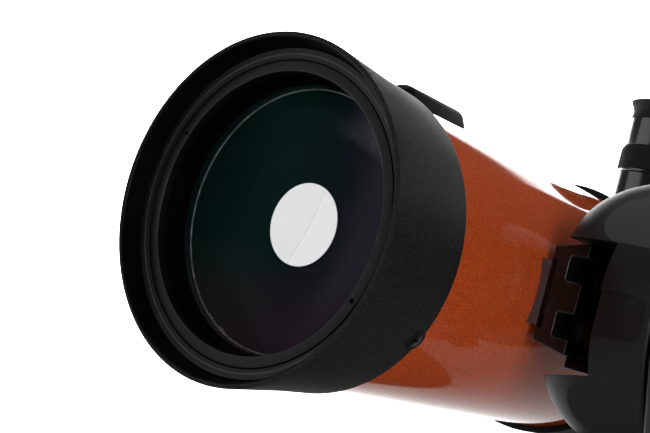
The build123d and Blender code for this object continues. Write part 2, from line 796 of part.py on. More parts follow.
with BuildPart() as altitude_hub:
    with BuildSketch(ALTITUDE_PLANE):
        with BuildLine():
            Line((HUB_END_X, 0), (HUB_X, 0))
            Line((HUB_X, 0), (HUB_X, 42.0))
            ThreePointArc((HUB_X, 42.0), (70.528, 44.236), shoulder(72.0))
            ThreePointArc(shoulder(72.0), shoulder(84.0), (HUB_PLATE_X, HUB_R))
            Line((HUB_PLATE_X, HUB_R), (HUB_END_X, HUB_R))
            Line((HUB_END_X, HUB_R), (HUB_END_X, 0))
        make_face()
    revolve(axis=ALTITUDE_AXIS)
    # channel for the dovetail bar, and its notch for the saddle's fixed jaw
    with BuildSketch(across(PIVOT_STATION - 60.0)):
        with BuildLine():
            Polyline(
                (HUB_X - 5, CHANNEL_TOP),
                (HUB_PLATE_X, CHANNEL_TOP),
                (HUB_PLATE_X, -26.8),
                (72.0, -31.0),
                (HUB_X - 5, -32.2),
                close=True,
            )
        make_face()
    extrude(amount=-120.0, mode=Mode.SUBTRACT)
    with BuildSketch(across(SADDLE_START)):
        with Locations(((HUB_X + HUB_PLATE_X) / 2 - 1, 23.0)):
            Rectangle(HUB_PLATE_X - HUB_X + 2, 6.0)
    extrude(amount=-SADDLE_LENGTH, mode=Mode.SUBTRACT)
    # clamp screw's hole
    with BuildSketch(level(-25.0)):
        with Locations((CLAMP_X, PIVOT_STATION)):
            Circle(2.5 + RUNNING)
    extrude(amount=-35.0, mode=Mode.SUBTRACT)
    # scooped flats above and below the front
    with BuildSketch(hub_plane(37.0, 52.7), hub_plane(-46.0, 52.5)):
        with Locations((86.75, 0)):
            Rectangle(53.5, 34.0)
    extrude(amount=10.0, mode=Mode.SUBTRACT)
    # inset panel on the front
    with BuildSketch(across(PIVOT_STATION - 60.0)):
        with Locations((102.0, -4.0)):
            RectangleRounded(24.0, 16.0, 3.0)
    extrude(amount=-7.6, mode=Mode.SUBTRACT)
    # hollow back with a boss for the shaft
    with BuildSketch(lengthwise(HUB_END_X)):
        with Locations((PIVOT_STATION, 0)):
            Circle(HUB_R - 5)
            Circle(18.0, mode=Mode.SUBTRACT)
    extrude(amount=-18.0, mode=Mode.SUBTRACT)
    with BuildSketch(lengthwise(HUB_END_X)):
        with Locations((PIVOT_STATION, 0)):
            Circle(SHAFT_R)
    extrude(amount=-19.0, mode=Mode.SUBTRACT)

with BuildPart() as altitude_shaft:
    with BuildSketch(Plane.YZ.offset(HUB_END_X - 19.0)):
        with Locations((0, ALTITUDE_HEIGHT)):
            Circle(SHAFT_R)
    extrude(amount=58.0)
    chamfer(altitude_shaft.edges().sort_by(Axis.X)[-1], 1.0)

with BuildPart() as dovetail_saddle:
    with BuildSketch(across(SADDLE_START)):
        with BuildLine():
            Polyline(
                (HUB_X + 0.3, 20.70),
                (BAR_FACE_X + 0.03, 22.05),
                (BAR_FACE_X + 0.03, -22.0),
                (HUB_PLATE_X, -22.0),
                (HUB_PLATE_X, 26.0),
                (HUB_X + 1.2, 26.0),
                (HUB_X + 0.3, 25.0),
                close=True,
            )
        make_face()
    extrude(amount=-SADDLE_LENGTH)

with BuildPart() as saddle_jaw:
    with BuildSketch(across(SADDLE_START + 4)):
        with BuildLine():
            Polyline(
                (HUB_X + 0.3, -20.72),
                (BAR_FACE_X + 0.1, -22.08),
                (84.0, -22.08),
                (84.0, -26.2),
                (HUB_X + 0.3, -26.2),
                close=True,
            )
        make_face()
    extrude(amount=-(SADDLE_LENGTH - 8))

with BuildPart() as clamp_knob:
    with BuildSketch(level(-26.3)):
        with Locations((CLAMP_X, PIVOT_STATION)):
            Circle(2.5)
    extrude(amount=-27.0)
    with BuildSketch(level(-52.5)):
        with Locations((CLAMP_X, PIVOT_STATION)):
            Circle(8.0)
            with PolarLocations(8.8, 6):
                Circle(2.2, mode=Mode.SUBTRACT)
    extrude(amount=-12.0)

# ---------------------------------------------------------------- arm
ARM_FOOT = 116.0
ARM_PLANE = Plane.YZ.offset(ARM_X)

HEAD_TANGENT = tangent_point((ARM_FOOT / 2, TURNTABLE_TOP), (0, ALTITUDE_HEIGHT), ARM_HEAD_R)

# drawn flat: x is the row's Y and y is its Z
with BuildSketch() as arm_outline:
    with BuildLine():
        Polyline(
            (-HEAD_TANGENT[0], HEAD_TANGENT[1]),
            (-ARM_FOOT / 2, TURNTABLE_TOP),
            (ARM_FOOT / 2, TURNTABLE_TOP),
            HEAD_TANGENT,
        )
        ThreePointArc(
            HEAD_TANGENT,
            (0, ALTITUDE_HEIGHT + ARM_HEAD_R),
            (-HEAD_TANGENT[0], HEAD_TANGENT[1]),
        )
    make_face()
    fillet(arm_outline.vertices().group_by(Axis.Y)[0], 8.0)

with BuildPart() as arm_shell:
    with BuildSketch(ARM_PLANE):
        add(arm_outline.sketch)
    extrude(amount=ARM_DEPTH)
    with BuildSketch(ARM_PLANE.offset(ARM_DEPTH)):
        add(arm_outline.sketch)
        offset(amount=-WALL, mode=Mode.REPLACE)
    extrude(amount=-(ARM_DEPTH - WALL), mode=Mode.SUBTRACT)
    # boss for the altitude bearings
    with BuildSketch(ARM_PLANE):
        with Locations((0, ALTITUDE_HEIGHT)):
            Circle(22.0)
    extrude(amount=30.0)
    with BuildSketch(ARM_PLANE):
        with Locations((0, ALTITUDE_HEIGHT)):
            Circle(16.0)
    extrude(amount=30.0, mode=Mode.SUBTRACT)
    # posts for the cover screws
    with BuildSketch(ARM_PLANE.offset(WALL)):
        with Locations((-38, 306), (38, 306), (-46, 92), (46, 92)):
            Circle(5.0)
    extrude(amount=ARM_DEPTH - WALL)
    with BuildSketch(ARM_PLANE.offset(ARM_DEPTH)):
        with Locations((-38, 306), (38, 306), (-46, 92), (46, 92)):
            Circle(1.5)
    extrude(amount=-14.0, mode=Mode.SUBTRACT)

with BuildPart() as altitude_bearings:
    with BuildSketch(ARM_PLANE, ARM_PLANE.offset(22.0)):
        with Locations((0, ALTITUDE_HEIGHT)):
            Circle(16.0)
            Circle(SHAFT_R + RUNNING, mode=Mode.SUBTRACT)
    extrude(amount=8.0)

with BuildPart() as arm_cover:
    with BuildSketch(ARM_PLANE.offset(ARM_DEPTH)):
        add(arm_outline.sketch)
    extrude(amount=4.0)
    cover_edges = arm_cover.faces().sort_by(Axis.X)[-1].edges()
    fillet(cover_edges, 2.0)
    with BuildSketch(ARM_PLANE.offset(ARM_DEPTH + 4.0)):
        with Locations((-38, 306), (38, 306), (-46, 92), (46, 92)):
            Circle(3.4)
    extrude(amount=-2.2, mode=Mode.SUBTRACT)
    with BuildSketch(ARM_PLANE.offset(ARM_DEPTH + 4.0)):
        with Locations((-38, 306), (38, 306), (-46, 92), (46, 92)):
            Circle(1.6)
    extrude(amount=-5.0, mode=Mode.SUBTRACT)

with BuildPart() as arm_cover_screws:
    with BuildSketch(ARM_PLANE.offset(ARM_DEPTH + 1.8)):
        with Locations((-38, 306), (38, 306), (-46, 92), (46, 92)):
            Circle(3.0)
    extrude(amount=1.8)
    with BuildSketch(ARM_PLANE.offset(ARM_DEPTH + 1.8)):
        with Locations((-38, 306), (38, 306), (-46, 92), (46, 92)):
            Circle(1.45)
    extrude(amount=-12.0)
    with BuildSketch(ARM_PLANE.offset(ARM_DEPTH + 3.6)):
        with Locations((-38, 306), (38, 306), (-46, 92), (46, 92)):
            Rectangle(3.6, 0.7)
            Rectangle(0.7, 3.6)
    extrude(amount=-1.1, mode=Mode.SUBTRACT)

# ---------------------------------------------------------------- turntable housing
DOOR_X = -53.0
DOOR_LENGTH = 96.0
PANEL_SIZE = (84.0, 30.0)
PANEL_Z = 54.0
SWITCH_Y = -28.0
SWITCH_HALF = 6.2

SIDE_TANGENT = tangent_point((HOUSING_END_X, HOUSING_END_Y), (0, 0), TURNTABLE_R)

with BuildSketch() as housing_outline:
    with BuildLine():
        Polyline(
            (SIDE_TANGENT[0], -SIDE_TANGENT[1]),
            (HOUSING_END_X, -HOUSING_END_Y),
            (HOUSING_END_X, HOUSING_END_Y),
            SIDE_TANGENT,
        )
        ThreePointArc(
            SIDE_TANGENT,
            (-TURNTABLE_R, 0),
            (SIDE_TANGENT[0], -SIDE_TANGENT[1]),
        )
    make_face()
    fillet(housing_outline.vertices().group_by(Axis.X)[-1], 12.0)

with BuildPart() as turntable_housing:
    with BuildSketch(Plane.XY.offset(TURNTABLE_BASE)):
        add(housing_outline.sketch)
    extrude(amount=TURNTABLE_TOP - TURNTABLE_BASE)
    top_edges = turntable_housing.faces().sort_by(Axis.Z)[-1].edges()
    fillet(top_edges, 3.5)
    with BuildSketch(Plane.XY.offset(TURNTABLE_BASE)):
        add(housing_outline.sketch)
        offset(amount=-4.5, mode=Mode.REPLACE)
    extrude(amount=TURNTABLE_TOP - TURNTABLE_BASE - 4.5, mode=Mode.SUBTRACT)
    # centre boss that turns on the spindle
    with BuildSketch(Plane.XY.offset(TURNTABLE_BASE + 4)):
        Circle(20.0)
    extrude(amount=TURNTABLE_TOP - TURNTABLE_BASE - 4.5)
    with BuildSketch(Plane.XY.offset(TURNTABLE_BASE)):
        Circle(SPINDLE_R + RUNNING)
    extrude(amount=40.0, mode=Mode.SUBTRACT)
    # battery opening with a ledge for its door
    with BuildSketch(Plane.XY.offset(TURNTABLE_TOP)):
        with Locations((DOOR_X, 0)):
            RectangleRounded(50.0, DOOR_LENGTH, 4.0)
    extrude(amount=-2.0, mode=Mode.SUBTRACT)
    with BuildSketch(Plane.XY.offset(TURNTABLE_TOP)):
        with Locations((DOOR_X, 0)):
            RectangleRounded(42.0, DOOR_LENGTH - 8, 3.0)
    extrude(amount=-8.0, mode=Mode.SUBTRACT)
    # seat for the socket panel in the end wall
    with BuildSketch(Plane.YZ.offset(HOUSING_END_X + 1)):
        with Locations((0, PANEL_Z)):
            RectangleRounded(*PANEL_SIZE, 3.0)
    extrude(amount=-8.0, mode=Mode.SUBTRACT)
    with BuildSketch(Plane.XY.offset(TURNTABLE_TOP)):
        with Locations((62.0, -60.0)):
            Circle(9.0)
    extrude(amount=-3.0, mode=Mode.SUBTRACT)

with BuildPart() as battery_door:
    with BuildSketch(Plane.XY.offset(TURNTABLE_TOP)):
        with Locations((DOOR_X, 0)):
            RectangleRounded(49.6, DOOR_LENGTH - 0.4, 3.8)
    extrude(amount=-2.0)
    with BuildSketch(Plane.XY.offset(TURNTABLE_TOP)):
        with Locations((DOOR_X + 17, 0)):
            SlotOverall(28.0, 6.0, rotation=90)
    extrude(amount=-1.0, mode=Mode.SUBTRACT)

CELL_ROWS = [(DOOR_X + dx, dy) for dx in (-15.5, 0, 15.5) for dy in (-26.0, 26.0)]

with BuildPart() as battery_holder:
    with BuildSketch(Plane.XY.offset(48.0)):
        with Locations((DOOR_X, 0)):
            Rectangle(48.0, 110.0)
    extrude(amount=22.0)
    with BuildSketch(Plane.XY.offset(50.0)):
        with Locations((DOOR_X, 0)):
            Rectangle(46.0, 106.0)
    extrude(amount=22.0, mode=Mode.SUBTRACT)
    with BuildSketch(Plane.XY.offset(69.0)):
        with Locations((DOOR_X, 55.0), (DOOR_X, -55.0)):
            Rectangle(20.0, 4.0)
    extrude(amount=8.5)

with BuildPart() as battery_cells:
    with BuildSketch(*[along_y(x, y - 25.0, 57.3) for x, y in CELL_ROWS]):
        Circle(7.2)
    extrude(amount=49.0)
    with BuildSketch(*[along_y(x, y + 24.0, 57.3) for x, y in CELL_ROWS]):
        Circle(2.6)
    extrude(amount=1.4)

with BuildPart() as socket_panel:
    with BuildSketch(Plane.YZ.offset(HOUSING_END_X - 0.8)):
        with Locations((0, PANEL_Z)):
            RectangleRounded(*PANEL_SIZE, 3.0)
    extrude(amount=-3.2)
    with BuildSketch(Plane.YZ.offset(HOUSING_END_X - 0.8)):
        with Locations((-28.0, PANEL_Z)):
            Rectangle(13.0, 19.0)
        with Locations((-6.0, PANEL_Z)):
            Circle(4.6)
        with Locations((12.0, PANEL_Z)):
            Rectangle(12.0, 10.0)
        with Locations((30.0, PANEL_Z)):
            Rectangle(12.0, 10.0)
    extrude(amount=-3.2, mode=Mode.SUBTRACT)
    # socket shells behind the panel
    with BuildSketch(Plane.YZ.offset(HOUSING_END_X - 4.0)):
        with Locations((-6.0, PANEL_Z)):
            Circle(6.2)
        with Locations((12.0, PANEL_Z)):
            Rectangle(15.0, 13.0)
        with Locations((30.0, PANEL_Z)):
            Rectangle(15.0, 13.0)
    extrude(amount=-10.0)
    with BuildSketch(Plane.YZ.offset(HOUSING_END_X - 4.0)):
        with Locations((-6.0, PANEL_Z)):
            Circle(4.6)
            Circle(1.1, mode=Mode.SUBTRACT)
        with Locations((12.0, PANEL_Z)):
            Rectangle(12.0, 10.0)
        with Locations((30.0, PANEL_Z)):
            Rectangle(12.0, 10.0)
    extrude(amount=-8.5, mode=Mode.SUBTRACT)

with BuildPart() as power_switch:
    with BuildSketch(Plane.XZ.offset(SWITCH_HALF - SWITCH_Y)):
        with BuildLine():
            Polyline(
                (HOUSING_END_X - 7.0, PANEL_Z - 5.5),
                (HOUSING_END_X + 0.8, PANEL_Z - 7.2),
                (HOUSING_END_X - 0.7, PANEL_Z),
                (HOUSING_END_X - 1.6, PANEL_Z + 7.2),
                (HOUSING_END_X - 7.0, PANEL_Z + 5.5),
                close=True,
            )
        make_face()
        with Locations((HOUSING_END_X - 6.0, PANEL_Z)):
            Circle(2.6)
    extrude(amount=-2 * SWITCH_HALF)

with BuildPart() as bubble_level:
    with BuildSketch(Plane.XY.offset(TURNTABLE_TOP - 3.0)):
        with Locations((62.0, -60.0)):
            Circle(8.9)
    extrude(amount=3.6)
    fillet(bubble_level.edges().sort_by(Axis.Z)[-1], 1.5)

# ---------------------------------------------------------------- base
FEET = [(88.0 * math.cos(math.radians(a)), 88.0 * math.sin(math.radians(a))) for a in (0, 120, 240)]

with BuildPart() as base_plate:
    Cylinder(BASE_R, BASE_HEIGHT, align=(Align.CENTER, Align.CENTER, Align.MIN))
    fillet(base_plate.edges().sort_by(Axis.Z)[0], 2.0)
    fillet(base_plate.edges().sort_by(Axis.Z)[-1], 2.0)
    with BuildSketch(Plane.XY.offset(BASE_HEIGHT)):
        Circle(88.0)
        Circle(24.0, mode=Mode.SUBTRACT)
    extrude(amount=-(BASE_HEIGHT - 6.0), mode=Mode.SUBTRACT)
    # spindle seat above, threaded pivot below, three holes for the tripod bolts
    with BuildSketch(Plane.XY.offset(12.0)):
        Circle(SPINDLE_R)
    extrude(amount=20.0, mode=Mode.SUBTRACT)
    with BuildSketch(Plane.XY):
        Circle(4.76)
    extrude(amount=9.0, mode=Mode.SUBTRACT)
    with BuildSketch(Plane.XY):
        with PolarLocations(55.0, 3, start_angle=60):
            Circle(3.3)
    extrude(amount=8.0, mode=Mode.SUBTRACT)

with BuildPart() as azimuth_spindle:
    with BuildSketch(Plane.XY.offset(12.0)):
        Circle(SPINDLE_R)
    extrude(amount=52.0)
    chamfer(azimuth_spindle.edges().sort_by(Axis.Z)[-1], 1.0)

with BuildPart() as azimuth_bearing:
    with BuildSketch(Plane.XY.offset(BASE_HEIGHT)):
        Circle(99.0)
        Circle(90.0, mode=Mode.SUBTRACT)
    extrude(amount=TURNTABLE_BASE - BASE_HEIGHT - 0.1)

with BuildPart() as rubber_feet:
    with BuildSketch(Plane.XY):
        with Locations(*FEET):
            Circle(11.0)
    extrude(amount=-FOOT_HEIGHT, taper=6)

# ---------------------------------------------------------------- export
front_cell.part.label = "front_cell"
export_step(front_cell.part, "parts/front_cell.step")
front_cell_screws.part.label = "front_cell_screws"
export_step(front_cell_screws.part, "parts/front_cell_screws.step")
lens_retaining_ring.part.label = "lens_retaining_ring"
export_step(lens_retaining_ring.part, "parts/lens_retaining_ring.step")
corrector_lens.part.label = "corrector_lens"
export_step(corrector_lens.part, "parts/corrector_lens.step")
secondary_spot.part.label = "secondary_spot"
export_step(secondary_spot.part, "parts/secondary_spot.step")
secondary_baffle.part.label = "secondary_baffle"
export_step(secondary_baffle.part, "parts/secondary_baffle.step")
lens_seat_ring.part.label = "lens_seat_ring"
export_step(lens_seat_ring.part, "parts/lens_seat_ring.step")
optical_tube.part.label = "optical_tube"
export_step(optical_tube.part, "parts/optical_tube.step")
rear_cell.part.label = "rear_cell"
export_step(rear_cell.part, "parts/rear_cell.step")
rear_cell_screws.part.label = "rear_cell_screws"
export_step(rear_cell_screws.part, "parts/rear_cell_screws.step")
baffle_tube.part.label = "baffle_tube"
export_step(baffle_tube.part, "parts/baffle_tube.step")
focus_bushing.part.label = "focus_bushing"
export_step(focus_bushing.part, "parts/focus_bushing.step")
rear_port.part.label = "rear_port"
export_step(rear_port.part, "parts/rear_port.step")
primary_mirror.part.label = "primary_mirror"
export_step(primary_mirror.part, "parts/primary_mirror.step")
mirror_carrier.part.label = "mirror_carrier"
export_step(mirror_carrier.part, "parts/mirror_carrier.step")
focus_screw.part.label = "focus_screw"
export_step(focus_screw.part, "parts/focus_screw.step")
focus_knob.part.label = "focus_knob"
export_step(focus_knob.part, "parts/focus_knob.step")
flip_mirror.part.label = "flip_mirror"
export_step(flip_mirror.part, "parts/flip_mirror.step")
flip_mirror_holder.part.label = "flip_mirror_holder"
export_step(flip_mirror_holder.part, "parts/flip_mirror_holder.step")
flip_knob.part.label = "flip_knob"
export_step(flip_knob.part, "parts/flip_knob.step")
eyepiece_holder.part.label = "eyepiece_holder"
export_step(eyepiece_holder.part, "parts/eyepiece_holder.step")
eyepiece_thumbscrew_1.part.label = "eyepiece_thumbscrew_1"
export_step(eyepiece_thumbscrew_1.part, "parts/eyepiece_thumbscrew_1.step")
eyepiece_thumbscrew_2.part.label = "eyepiece_thumbscrew_2"
export_step(eyepiece_thumbscrew_2.part, "parts/eyepiece_thumbscrew_2.step")
eyepiece_barrel.part.label = "eyepiece_barrel"
export_step(eyepiece_barrel.part, "parts/eyepiece_barrel.step")
eyepiece_body.part.label = "eyepiece_body"
export_step(eyepiece_body.part, "parts/eyepiece_body.step")
eyepiece_grip.part.label = "eyepiece_grip"
export_step(eyepiece_grip.part, "parts/eyepiece_grip.step")
eyecup.part.label = "eyecup"
export_step(eyecup.part, "parts/eyecup.step")
eye_lens.part.label = "eye_lens"
export_step(eye_lens.part, "parts/eye_lens.step")
field_lens.part.label = "field_lens"
export_step(field_lens.part, "parts/field_lens.step")
dovetail_bar.part.label = "dovetail_bar"
export_step(dovetail_bar.part, "parts/dovetail_bar.step")
dovetail_blocks.part.label = "dovetail_blocks"
export_step(dovetail_blocks.part, "parts/dovetail_blocks.step")
dovetail_screws.part.label = "dovetail_screws"
export_step(dovetail_screws.part, "parts/dovetail_screws.step")
finder_base.part.label = "finder_base"
export_step(finder_base.part, "parts/finder_base.step")
finder_body.part.label = "finder_body"
export_step(finder_body.part, "parts/finder_body.step")
finder_window.part.label = "finder_window"
export_step(finder_window.part, "parts/finder_window.step")
finder_knob.part.label = "finder_knob"
export_step(finder_knob.part, "parts/finder_knob.step")
altitude_hub.part.label = "altitude_hub"
export_step(altitude_hub.part, "parts/altitude_hub.step")
altitude_shaft.part.label = "altitude_shaft"
export_step(altitude_shaft.part, "parts/altitude_shaft.step")
dovetail_saddle.part.label = "dovetail_saddle"
export_step(dovetail_saddle.part, "parts/dovetail_saddle.step")
saddle_jaw.part.label = "saddle_jaw"
export_step(saddle_jaw.part, "parts/saddle_jaw.step")
clamp_knob.part.label = "clamp_knob"
export_step(clamp_knob.part, "parts/clamp_knob.step")
arm_shell.part.label = "arm_shell"
export_step(arm_shell.part, "parts/arm_shell.step")
altitude_bearings.part.label = "altitude_bearings"
export_step(altitude_bearings.part, "parts/altitude_bearings.step")
arm_cover.part.label = "arm_cover"
export_step(arm_cover.part, "parts/arm_cover.step")
arm_cover_screws.part.label = "arm_cover_screws"
export_step(arm_cover_screws.part, "parts/arm_cover_screws.step")
turntable_housing.part.label = "turntable_housing"
export_step(turntable_housing.part, "parts/turntable_housing.step")
battery_door.part.label = "battery_door"
export_step(battery_door.part, "parts/battery_door.step")
battery_holder.part.label = "battery_holder"
export_step(battery_holder.part, "parts/battery_holder.step")
battery_cells.part.label = "battery_cells"
export_step(battery_cells.part, "parts/battery_cells.step")
socket_panel.part.label = "socket_panel"
export_step(socket_panel.part, "parts/socket_panel.step")
power_switch.part.label = "power_switch"
export_step(power_switch.part, "parts/power_switch.step")
bubble_level.part.label = "bubble_level"
export_step(bubble_level.part, "parts/bubble_level.step")
base_plate.part.label = "base_plate"
export_step(base_plate.part, "parts/base_plate.step")
azimuth_spindle.part.label = "azimuth_spindle"
export_step(azimuth_spindle.part, "parts/azimuth_spindle.step")
azimuth_bearing.part.label = "azimuth_bearing"
export_step(azimuth_bearing.part, "parts/azimuth_bearing.step")
rubber_feet.part.label = "rubber_feet"
export_step(rubber_feet.part, "parts/rubber_feet.step")
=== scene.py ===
import bpy
import bmesh
import json
import math
from mathutils import Matrix, Vector


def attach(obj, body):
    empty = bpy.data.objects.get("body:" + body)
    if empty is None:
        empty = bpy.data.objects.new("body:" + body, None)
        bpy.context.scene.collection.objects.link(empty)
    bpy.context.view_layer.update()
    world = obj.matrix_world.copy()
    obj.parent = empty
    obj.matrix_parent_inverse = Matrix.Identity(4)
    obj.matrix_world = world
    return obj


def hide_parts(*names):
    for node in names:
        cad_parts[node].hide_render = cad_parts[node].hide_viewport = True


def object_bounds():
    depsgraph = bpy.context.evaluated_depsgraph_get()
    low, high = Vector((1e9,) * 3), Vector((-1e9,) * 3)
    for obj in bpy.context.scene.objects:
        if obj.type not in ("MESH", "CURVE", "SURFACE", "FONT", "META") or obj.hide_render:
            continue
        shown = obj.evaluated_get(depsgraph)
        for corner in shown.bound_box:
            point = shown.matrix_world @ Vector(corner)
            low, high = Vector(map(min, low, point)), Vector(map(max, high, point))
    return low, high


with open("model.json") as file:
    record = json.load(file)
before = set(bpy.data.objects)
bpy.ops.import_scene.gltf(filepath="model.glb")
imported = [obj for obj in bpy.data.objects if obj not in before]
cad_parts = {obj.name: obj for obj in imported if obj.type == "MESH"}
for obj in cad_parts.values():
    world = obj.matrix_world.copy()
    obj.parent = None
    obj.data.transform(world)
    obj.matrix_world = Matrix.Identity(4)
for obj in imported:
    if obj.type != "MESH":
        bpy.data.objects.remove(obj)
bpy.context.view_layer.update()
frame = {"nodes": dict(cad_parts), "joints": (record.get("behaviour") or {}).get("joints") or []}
JOINTS = {j["name"]: j for j in frame["joints"]}

# ------------------------------------------------------------------ the tube's own frame
# Local millimetres: x to the arm, y rearward from the front rim, z the tube's up.
PIVOT = Vector(JOINTS["altitude_tilt"]["pos_m"])
REAR = Vector(JOINTS["tube_slide"]["axis"]).normalized()
RIGHT = Vector((1, 0, 0))
UP = RIGHT.cross(REAR).normalized()
PIVOT_S = 140.0
RIM = PIVOT - REAR * PIVOT_S / 1000
X_AXIS, Y_AXIS, Z_AXIS = (1, 0, 0), (0, 1, 0), (0, 0, 1)


def basis(origin, x_dir, y_dir, z_dir):
    """The matrix that takes millimetres along three directions to the frame's metres."""
    m = Matrix.Identity(4)
    for i, axis in enumerate((x_dir, y_dir, z_dir)):
        for r in range(3):
            m[r][i] = axis[r] / 1000
    for r in range(3):
        m[r][3] = origin[r]
    return m


TUBE = basis(RIM, RIGHT, REAR, UP)
WORLD = Matrix.Scale(0.001, 4)

# Radii and stations that several pieces share, in millimetres.
TUBE_R, TUBE_INNER_R = 58.14, 56.6
TUBE_START, TUBE_END = 31.0, 232.0
SCREW_ANGLES, SCREW_S = (90.0, 210.0, 330.0), 44.5
EYE_S = 302.0
THUMB_Z = 75.5
FLIP_S, FLIP_Z = 317.0, 14.0
FOCUS_X, FOCUS_Z = -38, -18
CLAMP_X = 77.3
HUB_INNER_X, HUB_OUTER_X = 70, 118


# ------------------------------------------------------------------ materials
def new_material(name):
    """A node material, with its node and link lists, its shader and the object's coordinates."""
    m = bpy.data.materials.new(name)
    m.use_nodes = True
    nodes = m.node_tree.nodes
    coords = nodes.new("ShaderNodeTexCoord").outputs["Object"]
    return m, nodes, m.node_tree.links, nodes["Principled BSDF"], coords


def noise(nodes, links, coords, scale, detail=3.0, rough=0.5):
    n = nodes.new("ShaderNodeTexNoise")
    n.inputs["Scale"].default_value = scale
    n.inputs["Detail"].default_value = detail
    n.inputs["Roughness"].default_value = rough
    links.new(coords, n.inputs["Vector"])
    return n.outputs["Fac"]


def ramp(nodes, links, value, stops):
    """Maps a value to colours through (position, colour) stops."""
    r = nodes.new("ShaderNodeValToRGB")
    r.color_ramp.elements[0].position = stops[0][0]
    r.color_ramp.elements[0].color = (*stops[0][1], 1)
    r.color_ramp.elements[1].position = stops[-1][0]
    r.color_ramp.elements[1].color = (*stops[-1][1], 1)
    for pos, col in stops[1:-1]:
        e = r.color_ramp.elements.new(pos)
        e.color = (*col, 1)
    links.new(value, r.inputs["Fac"])
    return r.outputs["Color"]


def spread(nodes, links, value, low, high, a=0.3, b=0.7):
    """Maps a value from a..b to low..high."""
    m = nodes.new("ShaderNodeMapRange")
    m.inputs["From Min"].default_value = a
    m.inputs["From Max"].default_value = b
    m.inputs["To Min"].default_value = low
    m.inputs["To Max"].default_value = high
    links.new(value, m.inputs["Value"])
    return m.outputs["Result"]


def bump(nodes, links, shader, value, strength, distance):
    b = nodes.new("ShaderNodeBump")
    b.inputs["Strength"].default_value = strength
    b.inputs["Distance"].default_value = distance
    links.new(value, b.inputs["Height"])
    links.new(b.outputs["Normal"], shader.inputs["Normal"])


def finish_material(
    name, dark, light, rough, metallic=0.0, coat=0.0, coat_rough=0.05, coat_ior=1.5, specular=0.5,
    grain=1800.0, grain_bump=0.2, grain_depth=0.0001, smudge=12.0,
):
    """A surface whose colour varies between two tones, with fine grain and slow changes in gloss."""
    m, nodes, links, shader, coords = new_material(name)
    fine = noise(nodes, links, coords, grain, 3.0, 0.6)
    slow = noise(nodes, links, coords, smudge, 4.0, 0.55)
    colour = ramp(nodes, links, fine, [(0.35, dark), (0.68, light)])
    links.new(colour, shader.inputs["Base Color"])
    links.new(spread(nodes, links, slow, rough[0], rough[1]), shader.inputs["Roughness"])
    shader.inputs["Metallic"].default_value = metallic
    shader.inputs["Specular IOR Level"].default_value = specular
    shader.inputs["Coat Weight"].default_value = coat
    shader.inputs["Coat Roughness"].default_value = coat_rough
    shader.inputs["Coat IOR"].default_value = coat_ior
    if grain_bump:
        bump(nodes, links, shader, fine, grain_bump, grain_depth)
    return m


